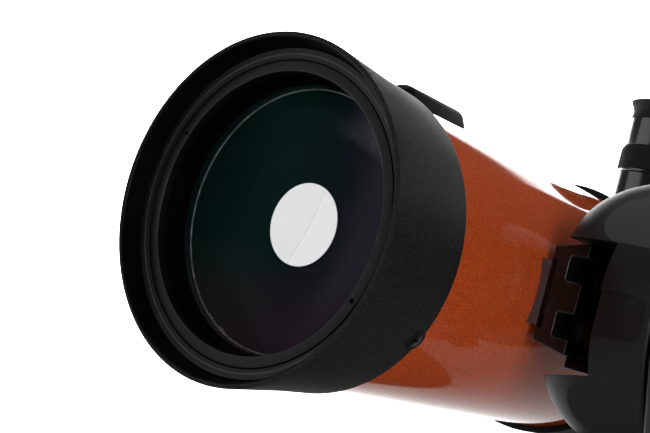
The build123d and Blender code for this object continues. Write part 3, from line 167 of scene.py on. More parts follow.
M = {}
FINISHES = {
    "cell": (
        "cell_powder_coat", (0.0060, 0.0060, 0.0064), (0.0350, 0.0350, 0.0364), (0.46, 0.60),
        dict(specular=0.02, grain=2100.0, grain_bump=0.45, grain_depth=0.00018, smudge=20),
    ),
    "cell_inner": (
        "cell_inner_matt", (0.0008, 0.0008, 0.0009), (0.0022, 0.0022, 0.0023), (0.34, 0.44),
        dict(specular=0.10, grain=900.0, grain_bump=0.12),
    ),
    "orange": (
        "tube_metallic_orange", (0.330, 0.0470, 0.0095), (0.860, 0.1290, 0.0285), (0.38, 0.48),
        dict(coat=1.0, coat_rough=0.06, coat_ior=1.37, specular=0.0, grain=2000.0, grain_bump=0.10,
             grain_depth=0.00005, smudge=6),
    ),
    "ring": (
        "ring_black_anodised", (0.0018, 0.0018, 0.0020), (0.0042, 0.0042, 0.0045), (0.34, 0.48),
        dict(specular=0.14, grain=700.0, grain_bump=0.06),
    ),
    "flat_black": (
        "optics_flat_black", (0.0010, 0.0010, 0.0010), (0.0022, 0.0022, 0.0022), (0.8, 0.95),
        dict(specular=0.03, grain=600.0, grain_bump=0.0),
    ),
    "dark_steel": (
        "screw_black_steel", (0.010, 0.0095, 0.009), (0.030, 0.028, 0.026), (0.16, 0.30),
        dict(metallic=0.7, grain=500.0, grain_bump=0.1, smudge=300),
    ),
    "bar": (
        "bar_dark_anodised", (0.0090, 0.0068, 0.0060), (0.0170, 0.0132, 0.0118), (0.28, 0.40),
        dict(metallic=0.2, specular=0.4, grain=1600.0, grain_bump=0.14, smudge=60),
    ),
    "block": (
        "block_brown_black", (0.055, 0.039, 0.041), (0.095, 0.070, 0.072), (0.40, 0.52),
        dict(specular=0.30, grain=1400.0, grain_bump=0.2, smudge=60),
    ),
    # A lighter tone for the bar's rounded rims and corners: a painted highlight.
    "bar_rim_highlight": (
        "bar_painted_rim_highlight", (0.010, 0.008, 0.007), (0.090, 0.085, 0.080), (0.34, 0.48),
        dict(metallic=0.3, specular=0.5, grain=1100.0, grain_bump=0.2, smudge=60),
    ),
    "hub": (
        "hub_satin_grey", (0.0020, 0.0019, 0.0020), (0.0044, 0.0041, 0.0043), (0.44, 0.54),
        dict(specular=0.38, grain=2200.0, grain_bump=0.16, grain_depth=0.00008, smudge=25),
    ),
    "arm": (
        "arm_moulded_charcoal", (0.020, 0.020, 0.021), (0.032, 0.032, 0.033), (0.42, 0.56),
        dict(specular=0.4, grain=2600.0, grain_bump=0.25, grain_depth=0.00012, smudge=18),
    ),
    "gloss": (
        "gloss_black_plastic", (0.007, 0.007, 0.0073), (0.012, 0.012, 0.0123), (0.20, 0.30),
        dict(coat=0.35, coat_rough=0.04, grain=400.0, grain_bump=0.02, smudge=40),
    ),
    "finder": (
        "finder_satin_black", (0.0022, 0.0022, 0.0024), (0.0045, 0.0045, 0.0048), (0.40, 0.52),
        dict(specular=0.10, grain=2200.0, grain_bump=0.12, grain_depth=0.00006, smudge=30),
    ),
    "rubber": (
        "rubber_black", (0.004, 0.004, 0.0042), (0.009, 0.009, 0.0093), (0.62, 0.8),
        dict(specular=0.16, grain=2400.0, grain_bump=0.3, smudge=50),
    ),
    "chrome": (
        "barrel_polished_chrome", (0.72, 0.72, 0.73), (0.82, 0.82, 0.83), (0.06, 0.14),
        dict(metallic=1.0, grain=900.0, grain_bump=0.02, smudge=60),
    ),
    "steel": (
        "turned_steel", (0.38, 0.38, 0.385), (0.55, 0.55, 0.555), (0.25, 0.4),
        dict(metallic=1.0, grain=900.0, grain_bump=0.08, smudge=90),
    ),
    "bronze": (
        "sintered_bronze", (0.38, 0.24, 0.09), (0.56, 0.38, 0.16), (0.3, 0.48),
        dict(metallic=1.0, grain=1800.0, grain_bump=0.2, smudge=90),
    ),
    "nylon": (
        "nylon_natural", (0.62, 0.60, 0.55), (0.72, 0.70, 0.66), (0.4, 0.55),
        dict(grain=900.0, grain_bump=0.08, smudge=40),
    ),
    "battery": (
        "battery_wrap", (0.03, 0.035, 0.045), (0.055, 0.06, 0.075), (0.2, 0.3),
        dict(coat=0.4, grain=300.0, grain_bump=0.02, smudge=60),
    ),
    "vial": (
        "bubble_vial", (0.42, 0.60, 0.12), (0.55, 0.72, 0.20), (0.05, 0.12),
        dict(coat=1.0, coat_rough=0.03, grain=200.0, grain_bump=0.0, smudge=30),
    ),
    # A lighter tone for thin rims on the black parts: a painted highlight.
    "rim_highlight": (
        "anodised_rim_highlight", (0.006, 0.006, 0.0066), (0.034, 0.034, 0.036), (0.26, 0.38),
        dict(metallic=0.3, specular=0.3, grain=900.0, grain_bump=0.1, smudge=60),
    ),
}
for key, (name, dark, light, rough, options) in FINISHES.items():
    M[key] = finish_material(name, dark, light, rough, **options)


def mirror_material():
    m, nodes, links, shader, coords = new_material("aluminised_mirror")
    slow = noise(nodes, links, coords, 40.0, 3.0)
    links.new(
        ramp(nodes, links, slow, [(0.3, (0.86, 0.87, 0.875)), (0.7, (0.92, 0.92, 0.925))]),
        shader.inputs["Base Color"],
    )
    links.new(spread(nodes, links, slow, 0.03, 0.07), shader.inputs["Roughness"])
    shader.inputs["Metallic"].default_value = 1.0
    return m


M["mirror"] = mirror_material()


def along(nodes, links, coords, direction, centre):
    """Distance along a direction from a point of the object."""
    dot = nodes.new("ShaderNodeVectorMath")
    dot.operation = "DOT_PRODUCT"
    dot.inputs[1].default_value = tuple(direction)
    links.new(coords, dot.inputs[0])
    shift = nodes.new("ShaderNodeMath")
    shift.operation = "SUBTRACT"
    shift.inputs[1].default_value = direction.dot(centre)
    links.new(dot.outputs["Value"], shift.inputs[0])
    return shift.outputs["Value"]


LENS_CENTRE = RIM + REAR * 0.029
STREAK_TURN = math.radians(-16)


def spot_material():
    """The aluminised centre of the corrector: an even mirror with one faint diagonal line, lighter at its core
    with a darker edge.
    """
    m, nodes, links, shader, coords = new_material("secondary_aluminised")
    direction = RIGHT * math.cos(STREAK_TURN) + UP * math.sin(STREAK_TURN)
    across = along(nodes, links, coords, direction, LENS_CENTRE)
    width = spread(nodes, links, across, 0.0, 1.0, -0.016, 0.016)
    slow = noise(nodes, links, coords, 70.0, 3.0, 0.6)
    wobble = spread(nodes, links, slow, -0.02, 0.02)
    add = nodes.new("ShaderNodeMath")
    add.operation = "ADD"
    links.new(width, add.inputs[0])
    links.new(wobble, add.inputs[1])
    links.new(
        ramp(nodes, links, add.outputs["Value"], [
            (0.0, (0.93, 0.935, 0.935)), (0.545, (0.91, 0.92, 0.92)), (0.562, (0.83, 0.84, 0.842)),
            (0.578, (1.0, 1.0, 1.0)), (0.60, (0.93, 0.935, 0.935)), (1.0, (0.95, 0.955, 0.955)),
        ]),
        shader.inputs["Base Color"],
    )
    links.new(spread(nodes, links, slow, 0.14, 0.20), shader.inputs["Roughness"])
    shader.inputs["Metallic"].default_value = 1.0
    return m


M["spot"] = spot_material()


def lens_material(name, alpha, centre, reach, stops, low, tint, level, tilt=-35.0):
    """Coated glass with painted reflection in its base colour: a tint that runs from one side to the other, and a
    warmer painted reflection low down.
    """
    m, nodes, links, shader, coords = new_material(name)
    turn = math.radians(tilt)
    # The base colour sweeps across the glass along a tilted direction: the coating's reflection, painted in.
    place = along(nodes, links, coords, RIGHT * math.cos(turn) + UP * math.sin(turn), centre)
    painted_reflection_sweep = ramp(nodes, links, spread(nodes, links, place, 0.0, 1.0, -reach, reach), stops)
    # A warmer painted reflection, stronger towards the bottom of the glass.
    up = along(nodes, links, coords, UP, centre)
    height = spread(nodes, links, up, 1.0, 0.0, -reach, -0.25 * reach)
    painted_low_reflection = ramp(nodes, links, height, [(0.0, (0, 0, 0)), (1.0, low)])
    both = nodes.new("ShaderNodeMix")
    both.data_type = "RGBA"
    both.blend_type = "ADD"
    both.inputs["Factor"].default_value = 1.0
    links.new(painted_reflection_sweep, both.inputs[6])
    links.new(painted_low_reflection, both.inputs[7])
    links.new(both.outputs[2], shader.inputs["Base Color"])
    slow = noise(nodes, links, coords, 30.0, 2.0)
    links.new(spread(nodes, links, slow, 0.02, 0.05), shader.inputs["Roughness"])
    shader.inputs["Alpha"].default_value = alpha
    shader.inputs["IOR"].default_value = 1.5
    shader.inputs["Specular IOR Level"].default_value = level
    shader.inputs["Specular Tint"].default_value = (*tint, 1.0)
    m.surface_render_method = "BLENDED"
    return m


# The teal-to-violet base colour and the warm tone low down are the coating's reflection, painted in.
M["lens"] = lens_material(
    "corrector_glass_painted_reflection", 0.22, LENS_CENTRE, 0.050, [
        (0.0, (0.004, 0.040, 0.036)), (0.35, (0.007, 0.055, 0.043)), (0.55, (0.008, 0.034, 0.034)),
        (0.66, (0.018, 0.030, 0.050)), (0.80, (0.120, 0.110, 0.160)), (1.0, (0.32, 0.29, 0.40)),
    ], (0.080, 0.010, 0.034), (0.75, 0.72, 1.0), 0.08, tilt=-8.0,
)
M["lens_clear"] = lens_material(
    "corrector_front_glass", 0.03, LENS_CENTRE, 0.050,
    [(0.0, (0.001, 0.004, 0.004)), (0.5, (0.001, 0.005, 0.004)), (1.0, (0.004, 0.003, 0.006))],
    (0.002, 0.001, 0.001), (0.75, 0.72, 1.0), 0.2,
)
M["eye_glass"] = lens_material(
    "eyepiece_coated_glass", 0.5, LENS_CENTRE, 0.3,
    [(0.0, (0.004, 0.012, 0.02)), (0.5, (0.006, 0.014, 0.024)), (1.0, (0.010, 0.010, 0.026))],
    (0.0, 0.0, 0.0), (0.5, 1.0, 0.9), 0.5,
)


def seat_material():
    """Bare machined edge with worn paint flakes."""
    m, nodes, links, shader, coords = new_material("seat_worn_metal")
    flake = noise(nodes, links, coords, 420.0, 6.0, 0.7)
    links.new(
        ramp(nodes, links, flake, [
            (0.36, (0.06, 0.06, 0.062)), (0.5, (0.18, 0.18, 0.185)), (0.64, (0.36, 0.36, 0.37)),
        ]),
        shader.inputs["Base Color"],
    )
    links.new(spread(nodes, links, flake, 0.3, 0.6), shader.inputs["Roughness"])
    shader.inputs["Metallic"].default_value = 0.4
    bump(nodes, links, shader, flake, 0.3, 0.0002)
    return m


M["seat"] = seat_material()


# ------------------------------------------------------------------ mesh builders
STRAIGHT = math.radians(176)
ONE_PIECE = 1e-6
SMOOTH_ANGLE, BEVEL_SMOOTH_ANGLE = 35.0, 50.0


def rounded(points, radii, steps=5):
    """A closed 2-D outline with its corners rounded."""
    out = []
    n = len(points)
    for i, point in enumerate(points):
        r = radii[i] if isinstance(radii, (list, tuple)) else radii
        p = Vector(point)
        a = Vector(points[i - 1]) - p
        b = Vector(points[(i + 1) % n]) - p
        if r <= 0 or min(a.length, b.length) < ONE_PIECE or a.angle(b) > STRAIGHT:
            out.append(tuple(p))
            continue
        angle = a.angle(b)
        cut = min(r / math.tan(angle / 2), 0.48 * a.length, 0.48 * b.length)
        radius = cut * math.tan(angle / 2)
        centre = p + (a.normalized() + b.normalized()).normalized() * (radius / math.sin(angle / 2))
        start = p + a.normalized() * cut - centre
        end = p + b.normalized() * cut - centre
        turn = start.angle(end)
        for k in range(steps + 1):
            t = k / steps
            v = (start * math.sin((1 - t) * turn) + end * math.sin(t * turn)) / math.sin(turn)
            out.append(tuple(centre + v))
    return out


def make_object(name, bm, matrix, sharp=SMOOTH_ANGLE):
    """A smooth-shaded object from a mesh built in local millimetres."""
    bmesh.ops.remove_doubles(bm, verts=bm.verts, dist=1e-5)
    bmesh.ops.recalc_face_normals(bm, faces=bm.faces)
    mesh = bpy.data.meshes.new(name)
    bm.to_mesh(mesh)
    bm.free()
    mesh.transform(matrix)
    if matrix.determinant() < 0:
        mesh.flip_normals()
    mesh.shade_smooth()
    mesh.set_sharp_from_angle(angle=math.radians(sharp))
    o = bpy.data.objects.new(name, mesh)
    bpy.context.scene.collection.objects.link(o)
    return o


def lathe(name, profile, origin, axis, ref, matrix=TUBE, seg=128, sharp=SMOOTH_ANGLE, ripple=None):
    """Turns a closed (along, radius) outline about an axis given in the local frame."""
    bm = bmesh.new()
    axis = Vector(axis).normalized()
    ref = Vector(ref).normalized()
    side = axis.cross(ref)
    origin = Vector(origin)
    rings = []
    for along, radius in profile:
        if radius < ONE_PIECE:
            rings.append([bm.verts.new(origin + axis * along)])
            continue
        ring = []
        for k in range(seg):
            turn = 2 * math.pi * k / seg
            r = radius if ripple is None else radius + ripple(along, radius, turn)
            outward = ref * math.cos(turn) + side * math.sin(turn)
            ring.append(bm.verts.new(origin + axis * along + outward * r))
        rings.append(ring)
    for i, ring in enumerate(rings):
        nxt = rings[(i + 1) % len(rings)]
        if len(ring) == 1 and len(nxt) == 1:
            continue
        for k in range(seg):
            j = (k + 1) % seg
            if len(ring) == 1:
                bm.faces.new((ring[0], nxt[j], nxt[k]))
            elif len(nxt) == 1:
                bm.faces.new((ring[k], ring[j], nxt[0]))
            else:
                bm.faces.new((ring[k], ring[j], nxt[j], nxt[k]))
    return make_object(name, bm, matrix, sharp)


def along_tube(name, profile, x=0.0, z=0.0, **more):
    """A turned piece whose axis runs along the tube."""
    return lathe(name, profile, (x, 0, z), Y_AXIS, X_AXIS, **more)


SHARPEST_MITRE = 0.35


def prism(name, outline, origin, u, v, depth, matrix=TUBE, edge=0.6, steps=3):
    """Extrudes a closed outline along u x v, with both ends' rims rounded."""
    u = Vector(u).normalized()
    v = Vector(v).normalized()
    w = u.cross(v)
    origin = Vector(origin)
    pts = [Vector((p[0], p[1])) for p in outline]
    if sum(a.x * b.y - b.x * a.y for a, b in zip(pts, pts[1:] + pts[:1])) < 0:
        pts.reverse()
    n = len(pts)
    inward = []
    for i in range(n):
        e0 = (pts[i] - pts[i - 1]).normalized()
        e1 = (pts[(i + 1) % n] - pts[i]).normalized()
        n0 = Vector((-e0.y, e0.x))
        n1 = Vector((-e1.y, e1.x))
        m = n0 + n1
        m = n0 if m.length < ONE_PIECE else m.normalized()
        inward.append(m / max(SHARPEST_MITRE, m.dot(n0)))
    rows = []
    sign = 1 if depth > 0 else -1
    total = abs(depth)
    r = min(edge, total / 2.01)
    for k in range(steps + 1):
        t = math.pi / 2 * k / steps
        rows.append((r - r * math.sin(t), r - r * math.cos(t)))
    levels = rows + [(inset, total - h) for inset, h in reversed(rows)]
    bm = bmesh.new()
    rings = []
    for inset, h in levels:
        flat = [p + q * inset for p, q in zip(pts, inward)]
        rings.append([bm.verts.new(origin + u * p.x + v * p.y + w * (h * sign)) for p in flat])
    for a, b in zip(rings, rings[1:]):
        for i in range(n):
            j = (i + 1) % n
            bm.faces.new((a[i], a[j], b[j], b[i]))
    bm.faces.new(list(reversed(rings[0])))
    bm.faces.new(rings[-1])
    bmesh.ops.recalc_face_normals(bm, faces=bm.faces)
    return make_object(name, bm, matrix)


def apply_modifiers(target, smooth_angle):
    """Replaces the mesh by its evaluated one and sets its smooth shading again."""
    bpy.context.view_layer.update()
    deps = bpy.context.evaluated_depsgraph_get()
    mesh = bpy.data.meshes.new_from_object(target.evaluated_get(deps))
    target.modifiers.clear()
    target.data = mesh
    mesh.shade_smooth()
    mesh.set_sharp_from_angle(angle=math.radians(smooth_angle))


def cut(target, *tools, operation="DIFFERENCE"):
    """Takes the tools away from the target, or joins them to it, and removes them."""
    for tool in tools:
        mod = target.modifiers.new("cut", "BOOLEAN")
        mod.operation = operation
        mod.solver = "EXACT"
        mod.object = tool
    apply_modifiers(target, SMOOTH_ANGLE)
    for tool in tools:
        bpy.data.objects.remove(tool)


def bevel(target, width, segments, angle):
    mod = target.modifiers.new("bevel", "BEVEL")
    mod.width = width / 1000
    mod.segments = segments
    mod.limit_method = "ANGLE"
    mod.angle_limit = math.radians(angle)
    mod.use_clamp_overlap = True
    mod.harden_normals = False
    apply_modifiers(target, BEVEL_SMOOTH_ANGLE)


def dress(piece, material, body, slot, *nodes):
    """Gives a piece its material, the body it rides on and the CAD nodes it stands for; the slot argument is not
    used.
    """
    piece.data.materials.clear()
    piece.data.materials.append(M[material])
    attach(piece, body)
    if nodes:
        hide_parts(*nodes)


def paint(piece, material, chosen):
    """Gives a second material to the faces that chosen(centre, radius, polygon) picks."""
    piece.data.materials.append(M[material])
    to_tube = TUBE.inverted()
    for poly in piece.data.polygons:
        centre = to_tube @ poly.center
        if chosen(centre, math.hypot(centre.x, centre.z), poly):
            poly.material_index = 1


def radial_frame(station, angle):
    """Origin on the optical axis, and the outward, sideways and rearward directions."""
    turn = math.radians(angle)
    out = Vector((math.cos(turn), 0, math.sin(turn)))
    rear = Vector((0, 1, 0))
    return Vector((0, station, 0)), out, rear.cross(out), rear


def cross_recess(head, top, rear, side, half_length, half_width):
    """Cuts a cross slot into a screw head."""
    a, b = half_length, half_width
    slot = [(-a, -b), (a, -b), (a, b), (-a, b)]
    cut(head, *[prism("tool", slot, top, u, v, 3.0, edge=0) for u, v in ((rear, side), (side, -rear))])


# ------------------------------------------------------------------ front cell
cell = along_tube(
    "front_cell_body",
    rounded(
        [(0.25, 62.3), (0.0, 64.4), (30, 61.84), (48, 60.9), (48, 58.2), (31, 58.2), (31, 51.5),
         (25.5, 51.5), (25.5, 53.6), (13.2, 53.6), (13.2, 56.35), (9.2, 56.35), (9.0, 56.9), (9.0, 60.5)],
        [0.9, 1.2, 0, 0.5, 0, 0, 0, 0, 0, 0, 0, 0.2, 0.2, 0.6], 6,
    ),
    seg=256,
)
tools = []
for angle in SCREW_ANGLES:
    origin, out, side, rear = radial_frame(SCREW_S, angle)
    seat_profile = [(58.9, 0), (58.9, 1.75), (61.35, 3.95), (63.5, 4.4), (63.5, 0)]
    tools.append(lathe("tool", seat_profile, origin, out, rear, seg=48))
cut(cell, *tools)
dress(cell, "cell", "tube", "cell_black", "front_cell")


def cell_inside(c, r, poly):
    inward = poly.normal.dot((RIGHT * c.x + UP * c.z).normalized()) < -0.35
    return c.y < TUBE_START and (inward or (c.y > 1.6 and r < 60.7))


paint(cell, "cell_inner", cell_inside)

for i, angle in enumerate(SCREW_ANGLES):
    origin, out, side, rear = radial_frame(SCREW_S, angle)
    boss = lathe(
        f"cell_screw_boss_{i + 1}",
        rounded([(58.3, 3.4), (58.3, 4.75), (61.2, 4.75), (61.2, 3.98), (59.2, 2.2)], [0, 0, 0.3, 0.15, 0], 3),
        origin, out, rear, seg=64,
    )
    dress(boss, "cell", "tube", "cell_black", "front_cell")
    head = lathe(
        f"cell_screw_{i + 1}",
        rounded([(55.5, 0), (55.5, 1.5), (58.9, 1.5), (58.95, 1.8), (60.9, 3.5), (61.08, 3.5), (61.12, 0)],
                [0, 0, 0, 0, 0.15, 0.1, 0], 3),
        origin, out, rear, seg=48,
    )
    cross_recess(head, origin + out * 61.3 + out * 1.9, rear, side, 2.0, 0.4)
    dress(head, "dark_steel", "tube", "screw_dark", "front_cell_screws")

RIDGES, RIDGE_STEP, RIDGE_DROP = 5, 0.22, 0.55
ridges = []
for k in range(RIDGES):
    ridges += [
        (8.0 + RIDGE_STEP * k, 59.6 - RIDGE_DROP * k),
        (8.11 + RIDGE_STEP * k, 59.05 - RIDGE_DROP * k),
    ]
thread = along_tube("cell_thread", [(7.9, 60.3)] + ridges + [(9.2, 56.9), (9.2, 60.3)], seg=256, sharp=20)
dress(thread, "ring", "tube", "cell_black", "front_cell")
# A band at the thread's crest is lighter: a painted highlight.
paint(thread, "rim_highlight", lambda c, r, poly: 8.3 < c.y < 8.6 and r < 60)

ring = along_tube(
    "lens_ring",
    rounded([(9.0, 52.1), (9.0, 56.15), (12.2, 56.15), (12.2, 51.6)], [0.35, 0.3, 0, 0.1], 4), seg=256,
)
SPANNER_R = 53.9
tools = []
for t in (math.radians(154.8), math.radians(-25.2)):
    tools.append(along_tube(
        "tool", [(8, 0), (8, 0.9), (11, 0.9), (11, 0)],
        x=SPANNER_R * math.cos(t), z=SPANNER_R * math.sin(t), seg=24,
    ))
cut(ring, *tools)
dress(ring, "ring", "tube", "ring_black", "lens_retaining_ring")
# The ring's inner front edge is lighter: a painted highlight.
paint(ring, "rim_highlight", lambda c, r, poly: c.y < 9.6 and r < 52.5)

seat = along_tube(
    "lens_seat",
    rounded([(22.26, 51.1), (22.26, 53.55), (25.45, 53.55), (25.45, 49.95)], [0, 0, 0, 0.05], 3), seg=256,
)
dress(seat, "flat_black", "tube", "seat_grey", "lens_seat_ring")


CHIP_CENTRE, CHIP_REACH = math.radians(116), math.radians(20)


def chips(along, radius, turn):
    """A slightly uneven inner edge, with flakes standing in from it over a short arc."""
    if radius > 49.7:
        return 0.0
    rough = 0.10 + 0.85 * max(0.0, 1 - abs(turn - CHIP_CENTRE) / CHIP_REACH)
    value = math.sin(turn * 97) * math.sin(turn * 61 + 1.3) + 0.6 * math.sin(turn * 173 + 0.4)
    return -rough * max(0.0, value)


seat_edge = along_tube(
    "lens_seat_edge", [(24.9, 50.05), (25.45, 50.05), (25.45, 49.68), (25.2, 49.6)], seg=720, ripple=chips,
)
dress(seat_edge, "seat", "tube", "seat_grey", "lens_seat_ring")


BACK_S, BACK_CURVE, BACK_R = 33.2, 122.0, 50.5
FRONT_S, FRONT_CURVE, FRONT_R = 24, 118.7, 51.5
LENS_R, SPOT_R = 52.95, 15.8


def sag(curve, r):
    """How far a sphere of this radius falls away from its vertex at a distance from the axis."""
    return curve - math.sqrt(curve**2 - r**2)


def arc(vertex, curve, r0, r1, steps):
    """Points of a spherical face, from one distance from the axis to another."""
    radii = [r0 + (r1 - r0) * k / steps for k in range(steps + 1)]
    return [(vertex - sag(curve, r), r) for r in radii]


lens = along_tube(
    "corrector",
    arc(BACK_S, BACK_CURVE, 0, BACK_R, 28)
    + [(BACK_S - sag(BACK_CURVE, BACK_R), LENS_R), (FRONT_S - sag(FRONT_CURVE, FRONT_R), LENS_R)]
    + arc(FRONT_S, FRONT_CURVE, FRONT_R, 0, 28),
    seg=192,
)
dress(lens, "lens", "tube", "lens_glass", "corrector_lens")
# The coating is on the back face; the front face and the edge are clearer.
paint(lens, "lens_clear", lambda c, r, poly: c.y < 28.6 - sag(120.0, min(r, 52.0)) or r > 50.6)

spot = along_tube(
    "secondary", arc(BACK_S + 0.02, BACK_CURVE, 0, SPOT_R, 12) + arc(33.5, 122.3, SPOT_R, 0, 12), seg=128,
)
dress(spot, "spot", "tube", "mirror_coating", "secondary_spot")

baffle = along_tube(
    "secondary_cone",
    [(33.55 - sag(122.3, 15.4), 15.4), (46, 17.0), (46, 16.2), (33.55 - sag(122.3, 14.5), 14.5)], seg=96,
)
dress(baffle, "flat_black", "tube", "optics_black", "secondary_baffle")

# ------------------------------------------------------------------ optical tube
tube = along_tube(
    "tube_shell",
    [(TUBE_START, TUBE_INNER_R), (TUBE_START, TUBE_R), (TUBE_END, TUBE_R), (TUBE_END, TUBE_INNER_R)], seg=256,
)
dress(tube, "orange", "tube", "tube_orange", "optical_tube")
paint(tube, "flat_black", lambda c, r, poly: r < 57.6)

# ------------------------------------------------------------------ rear cell
rear_cell = along_tube(
    "rear_cell_body",
    rounded(
        [(220, 58.2), (220, 61.0), (325, 61.0), (325, 0.0), (321, 0.0), (321, 57.0), (274, 57.0), (274, 15.0),
         (268, 15.0), (268, 57.0), (232, 57.0), (232, 58.2)],
        [0.2, 1.2, 4.0, 0, 0, 1, 1, 0, 0, 1, 0, 0], 7,
    ),
    seg=256,
)
boss = lathe(
    "tool",
    rounded([(52, 0), (52, 24.0), (58.4, 24.0), (62.6, 20.7), (67.0, 20.0), (67.0, 0)], [0, 0, 0, 5.0, 0.7, 0], 8),
    (0, EYE_S, 0), Z_AXIS, X_AXIS, seg=128,
)
cut(rear_cell, boss, operation="UNION")
cut(
    rear_cell,
    lathe("tool", [(46, 0), (46, 15.98), (70, 15.98), (70, 0)], (0, EYE_S, 0), Z_AXIS, X_AXIS, seg=96),
    along_tube("tool", [(318, 0), (318, 16.0), (328, 16.0), (328, 0)], seg=96),
    along_tube("tool", [(319, 0), (319, 7.02), (328, 7.02), (328, 0)], x=FOCUS_X, z=FOCUS_Z, seg=64),
)
dress(rear_cell, "cell", "tube", "cell_black", "rear_cell")

for i, angle in enumerate((10.0, 130.0, 250.0)):
    origin, out, side, rear = radial_frame(226.0, angle)
    head = lathe(
        f"rear_cell_screw_{i + 1}",
        rounded([(56, 0), (56, 1.5), (60.4, 1.5), (60.4, 2.8), (61.6, 2.8), (62.2, 1.2), (62.25, 0)],
                [0, 0, 0, 0.1, 0.8, 0.5, 0], 4),
        origin, out, rear, seg=40,
    )
    cross_recess(head, origin + out * 62.5 + out * 1.8, rear, side, 1.7, 0.35)
    dress(head, "dark_steel", "tube", "screw_dark", "rear_cell_screws")

PORT_THREADS, PORT_PITCH = 6, 1.3
port_threads = []
for k in range(PORT_THREADS):
    s = k * PORT_PITCH
    port_threads += [(328.3 + s, 19.0), (328.8 + s, 18.45), (329.3 + s, 19.0)]
port = along_tube(
    "rear_port_neck",
    rounded(
        [(325, 16.0), (325, 22.0), (327.5, 22.0), (327.5, 19.0)] + port_threads + [(337, 19.0), (337, 16.0)],
        [0, 0.5, 0.5, 0.2] + [0] * len(port_threads) + [0.5, 0.4], 3,
    ),
    seg=128,
)
dress(port, "ring", "tube", "ring_black", "rear_port")

bushing = along_tube(
    "focus_bush", rounded([(321, 3.1), (321, 7), (326.5, 7), (326.5, 3.1)], [0, 0, 0.4, 0.3], 3),
    x=FOCUS_X, z=FOCUS_Z, seg=64,
)
dress(bushing, "bronze", "tube", "bronze", "focus_bushing")


FLUTES, FLUTE_DEPTH = 24, 0.55
KNURLS, KNURL_DEPTH = 20, 0.28
RIBS, RIB_DEPTH = 60, 0.22
LOBES, LOBE_DEPTH = 6, 1.1


def flutes(along, radius, turn):
    """Grooves along the focus knob's grip."""
    if radius < 9 or not 329.5 < along < 346.5:
        return 0.0
    return -FLUTE_DEPTH * max(0.0, math.cos(FLUTES * turn)) ** 0.6


knob = along_tube(
    "focus_knob_grip",
    rounded([(327, 3.1), (327, 9.5), (329, 9.6), (329.1, 10.5)] + [(330 + k, 10.5) for k in range(0, 16)]
            + [(346, 10.4), (346.1, 9.3), (349, 9.0), (349, 0), (338, 0), (338, 3.0)],
            [0, 0.5, 0, 0.3] + [0] * 16 + [0.4, 0, 1.6, 0, 0, 0], 4),
    x=FOCUS_X, z=FOCUS_Z, seg=240, ripple=flutes,
)
dress(knob, "rubber", "focuser", "rubber_black", "focus_knob")

# ------------------------------------------------------------------ flip mirror lever
flip_disc = lathe(
    "flip_lever_disc",
    rounded([(61.5, 2.0), (61.5, 8.0), (67.4, 8.0), (67.4, 0), (66.0, 0), (66.0, 2.0)], [0, 0.5, 0.7, 0, 0, 0], 4),
    (0, FLIP_S, FLIP_Z), (-1, 0, 0), Y_AXIS, seg=96,
)
dress(flip_disc, "gloss", "flip", "gloss_black", "flip_knob")
flip_lever = prism(
    "flip_lever_grip", rounded([(-8.5, -2.5), (8.5, -2.5), (8.5, 2.5), (-8.5, 2.5)], 2.0, 6),
    (-67.0, FLIP_S, FLIP_Z), Y_AXIS, Z_AXIS, -7.4, edge=0.9, steps=4,
)
dress(flip_lever, "gloss", "flip", "gloss_black", "flip_knob")


# ------------------------------------------------------------------ eyepiece
def eye_lathe(name, profile, **more):
    """A turned piece whose axis is the eyepiece's."""
    return lathe(name, profile, (0, EYE_S, 0), Z_AXIS, X_AXIS, **more)


holder = eye_lathe(
    "eyepiece_collar",
    rounded([(67, 15.97), (67, 19.6), (68.6, 19.6), (69.2, 19.0), (82.5, 19.0), (82.98, 18.5), (82.98, 15.97)],
            [0, 0.4, 0.4, 0.4, 0.4, 0.2, 0.2], 4),
)
THUMB = {1: Vector((-1, 1, 0)).normalized(), 2: Vector((1, 1, 0)).normalized()}
cut(holder, *[
    lathe("tool", [(14, 0), (14, 1.6), (22, 1.6), (22, 0)], (0, EYE_S, THUMB_Z), d, Z_AXIS, seg=24)
    for d in THUMB.values()
])
dress(holder, "gloss", "tube", "gloss_black", "eyepiece_holder")


def knurl(along, radius, turn):
    """Grooves round a thumbscrew's head."""
    if not 3.2 <= radius <= 5:
        return 0.0
    return -KNURL_DEPTH * max(0.0, math.cos(KNURLS * turn))


for i, direction in THUMB.items():
    screw = lathe(
        f"thumbscrew_{i}",
        rounded([(16.05, 0), (16.05, 1.5), (21.5, 1.5), (21.5, 3.9), (26.4, 3.9), (26.4, 0)],
                [0, 0.2, 0, 0.4, 0.6, 0], 4),
        (0, EYE_S, THUMB_Z), direction, Z_AXIS, seg=160, ripple=knurl,
    )
    dress(screw, "dark_steel", f"thumbscrew_{i}", "screw_dark", f"eyepiece_thumbscrew_{i}")

BARREL_R = 15.875
barrel = eye_lathe(
    "eyepiece_tube",
    rounded([(52, 14.0), (52, BARREL_R), (70.5, BARREL_R), (71.2, 15.3), (78.2, 15.3), (78.9, BARREL_R),
             (83.0, BARREL_R), (83.0, 14.0)],
            [0.2, 0.5, 0.2, 0.2, 0.2, 0.2, 0, 0], 3),
)
dress(barrel, "chrome", "eyepiece", "barrel_chrome", "eyepiece_barrel")
body = eye_lathe(
    "eyepiece_shell",
    rounded(
        [(83.03, 14.0), (83.03, 18.8), (84.6, 19.0), (84.6, 17.6), (97.5, 17.6), (97.5, 18.72), (112.0, 19.15),
         (112.5, 18.7), (112.5, 16.5), (116.0, 16.5), (116.0, 11.5), (106.5, 11.5), (103.0, 14.0)],
        [0, 0.4, 0.3, 0, 0, 0.2, 0.4, 0.2, 0, 0.3, 0.4, 0, 0], 4,
    ),
)
dress(body, "gloss", "eyepiece", "gloss_black", "eyepiece_body")


def grip_ribs(along, radius, turn):
    """Fine ribs round the eyepiece's rubber band."""
    if radius < 19.6 or not 85.4 < along < 94.6:
        return 0.0
    return -RIB_DEPTH * max(0.0, math.cos(RIBS * turn)) ** 0.8


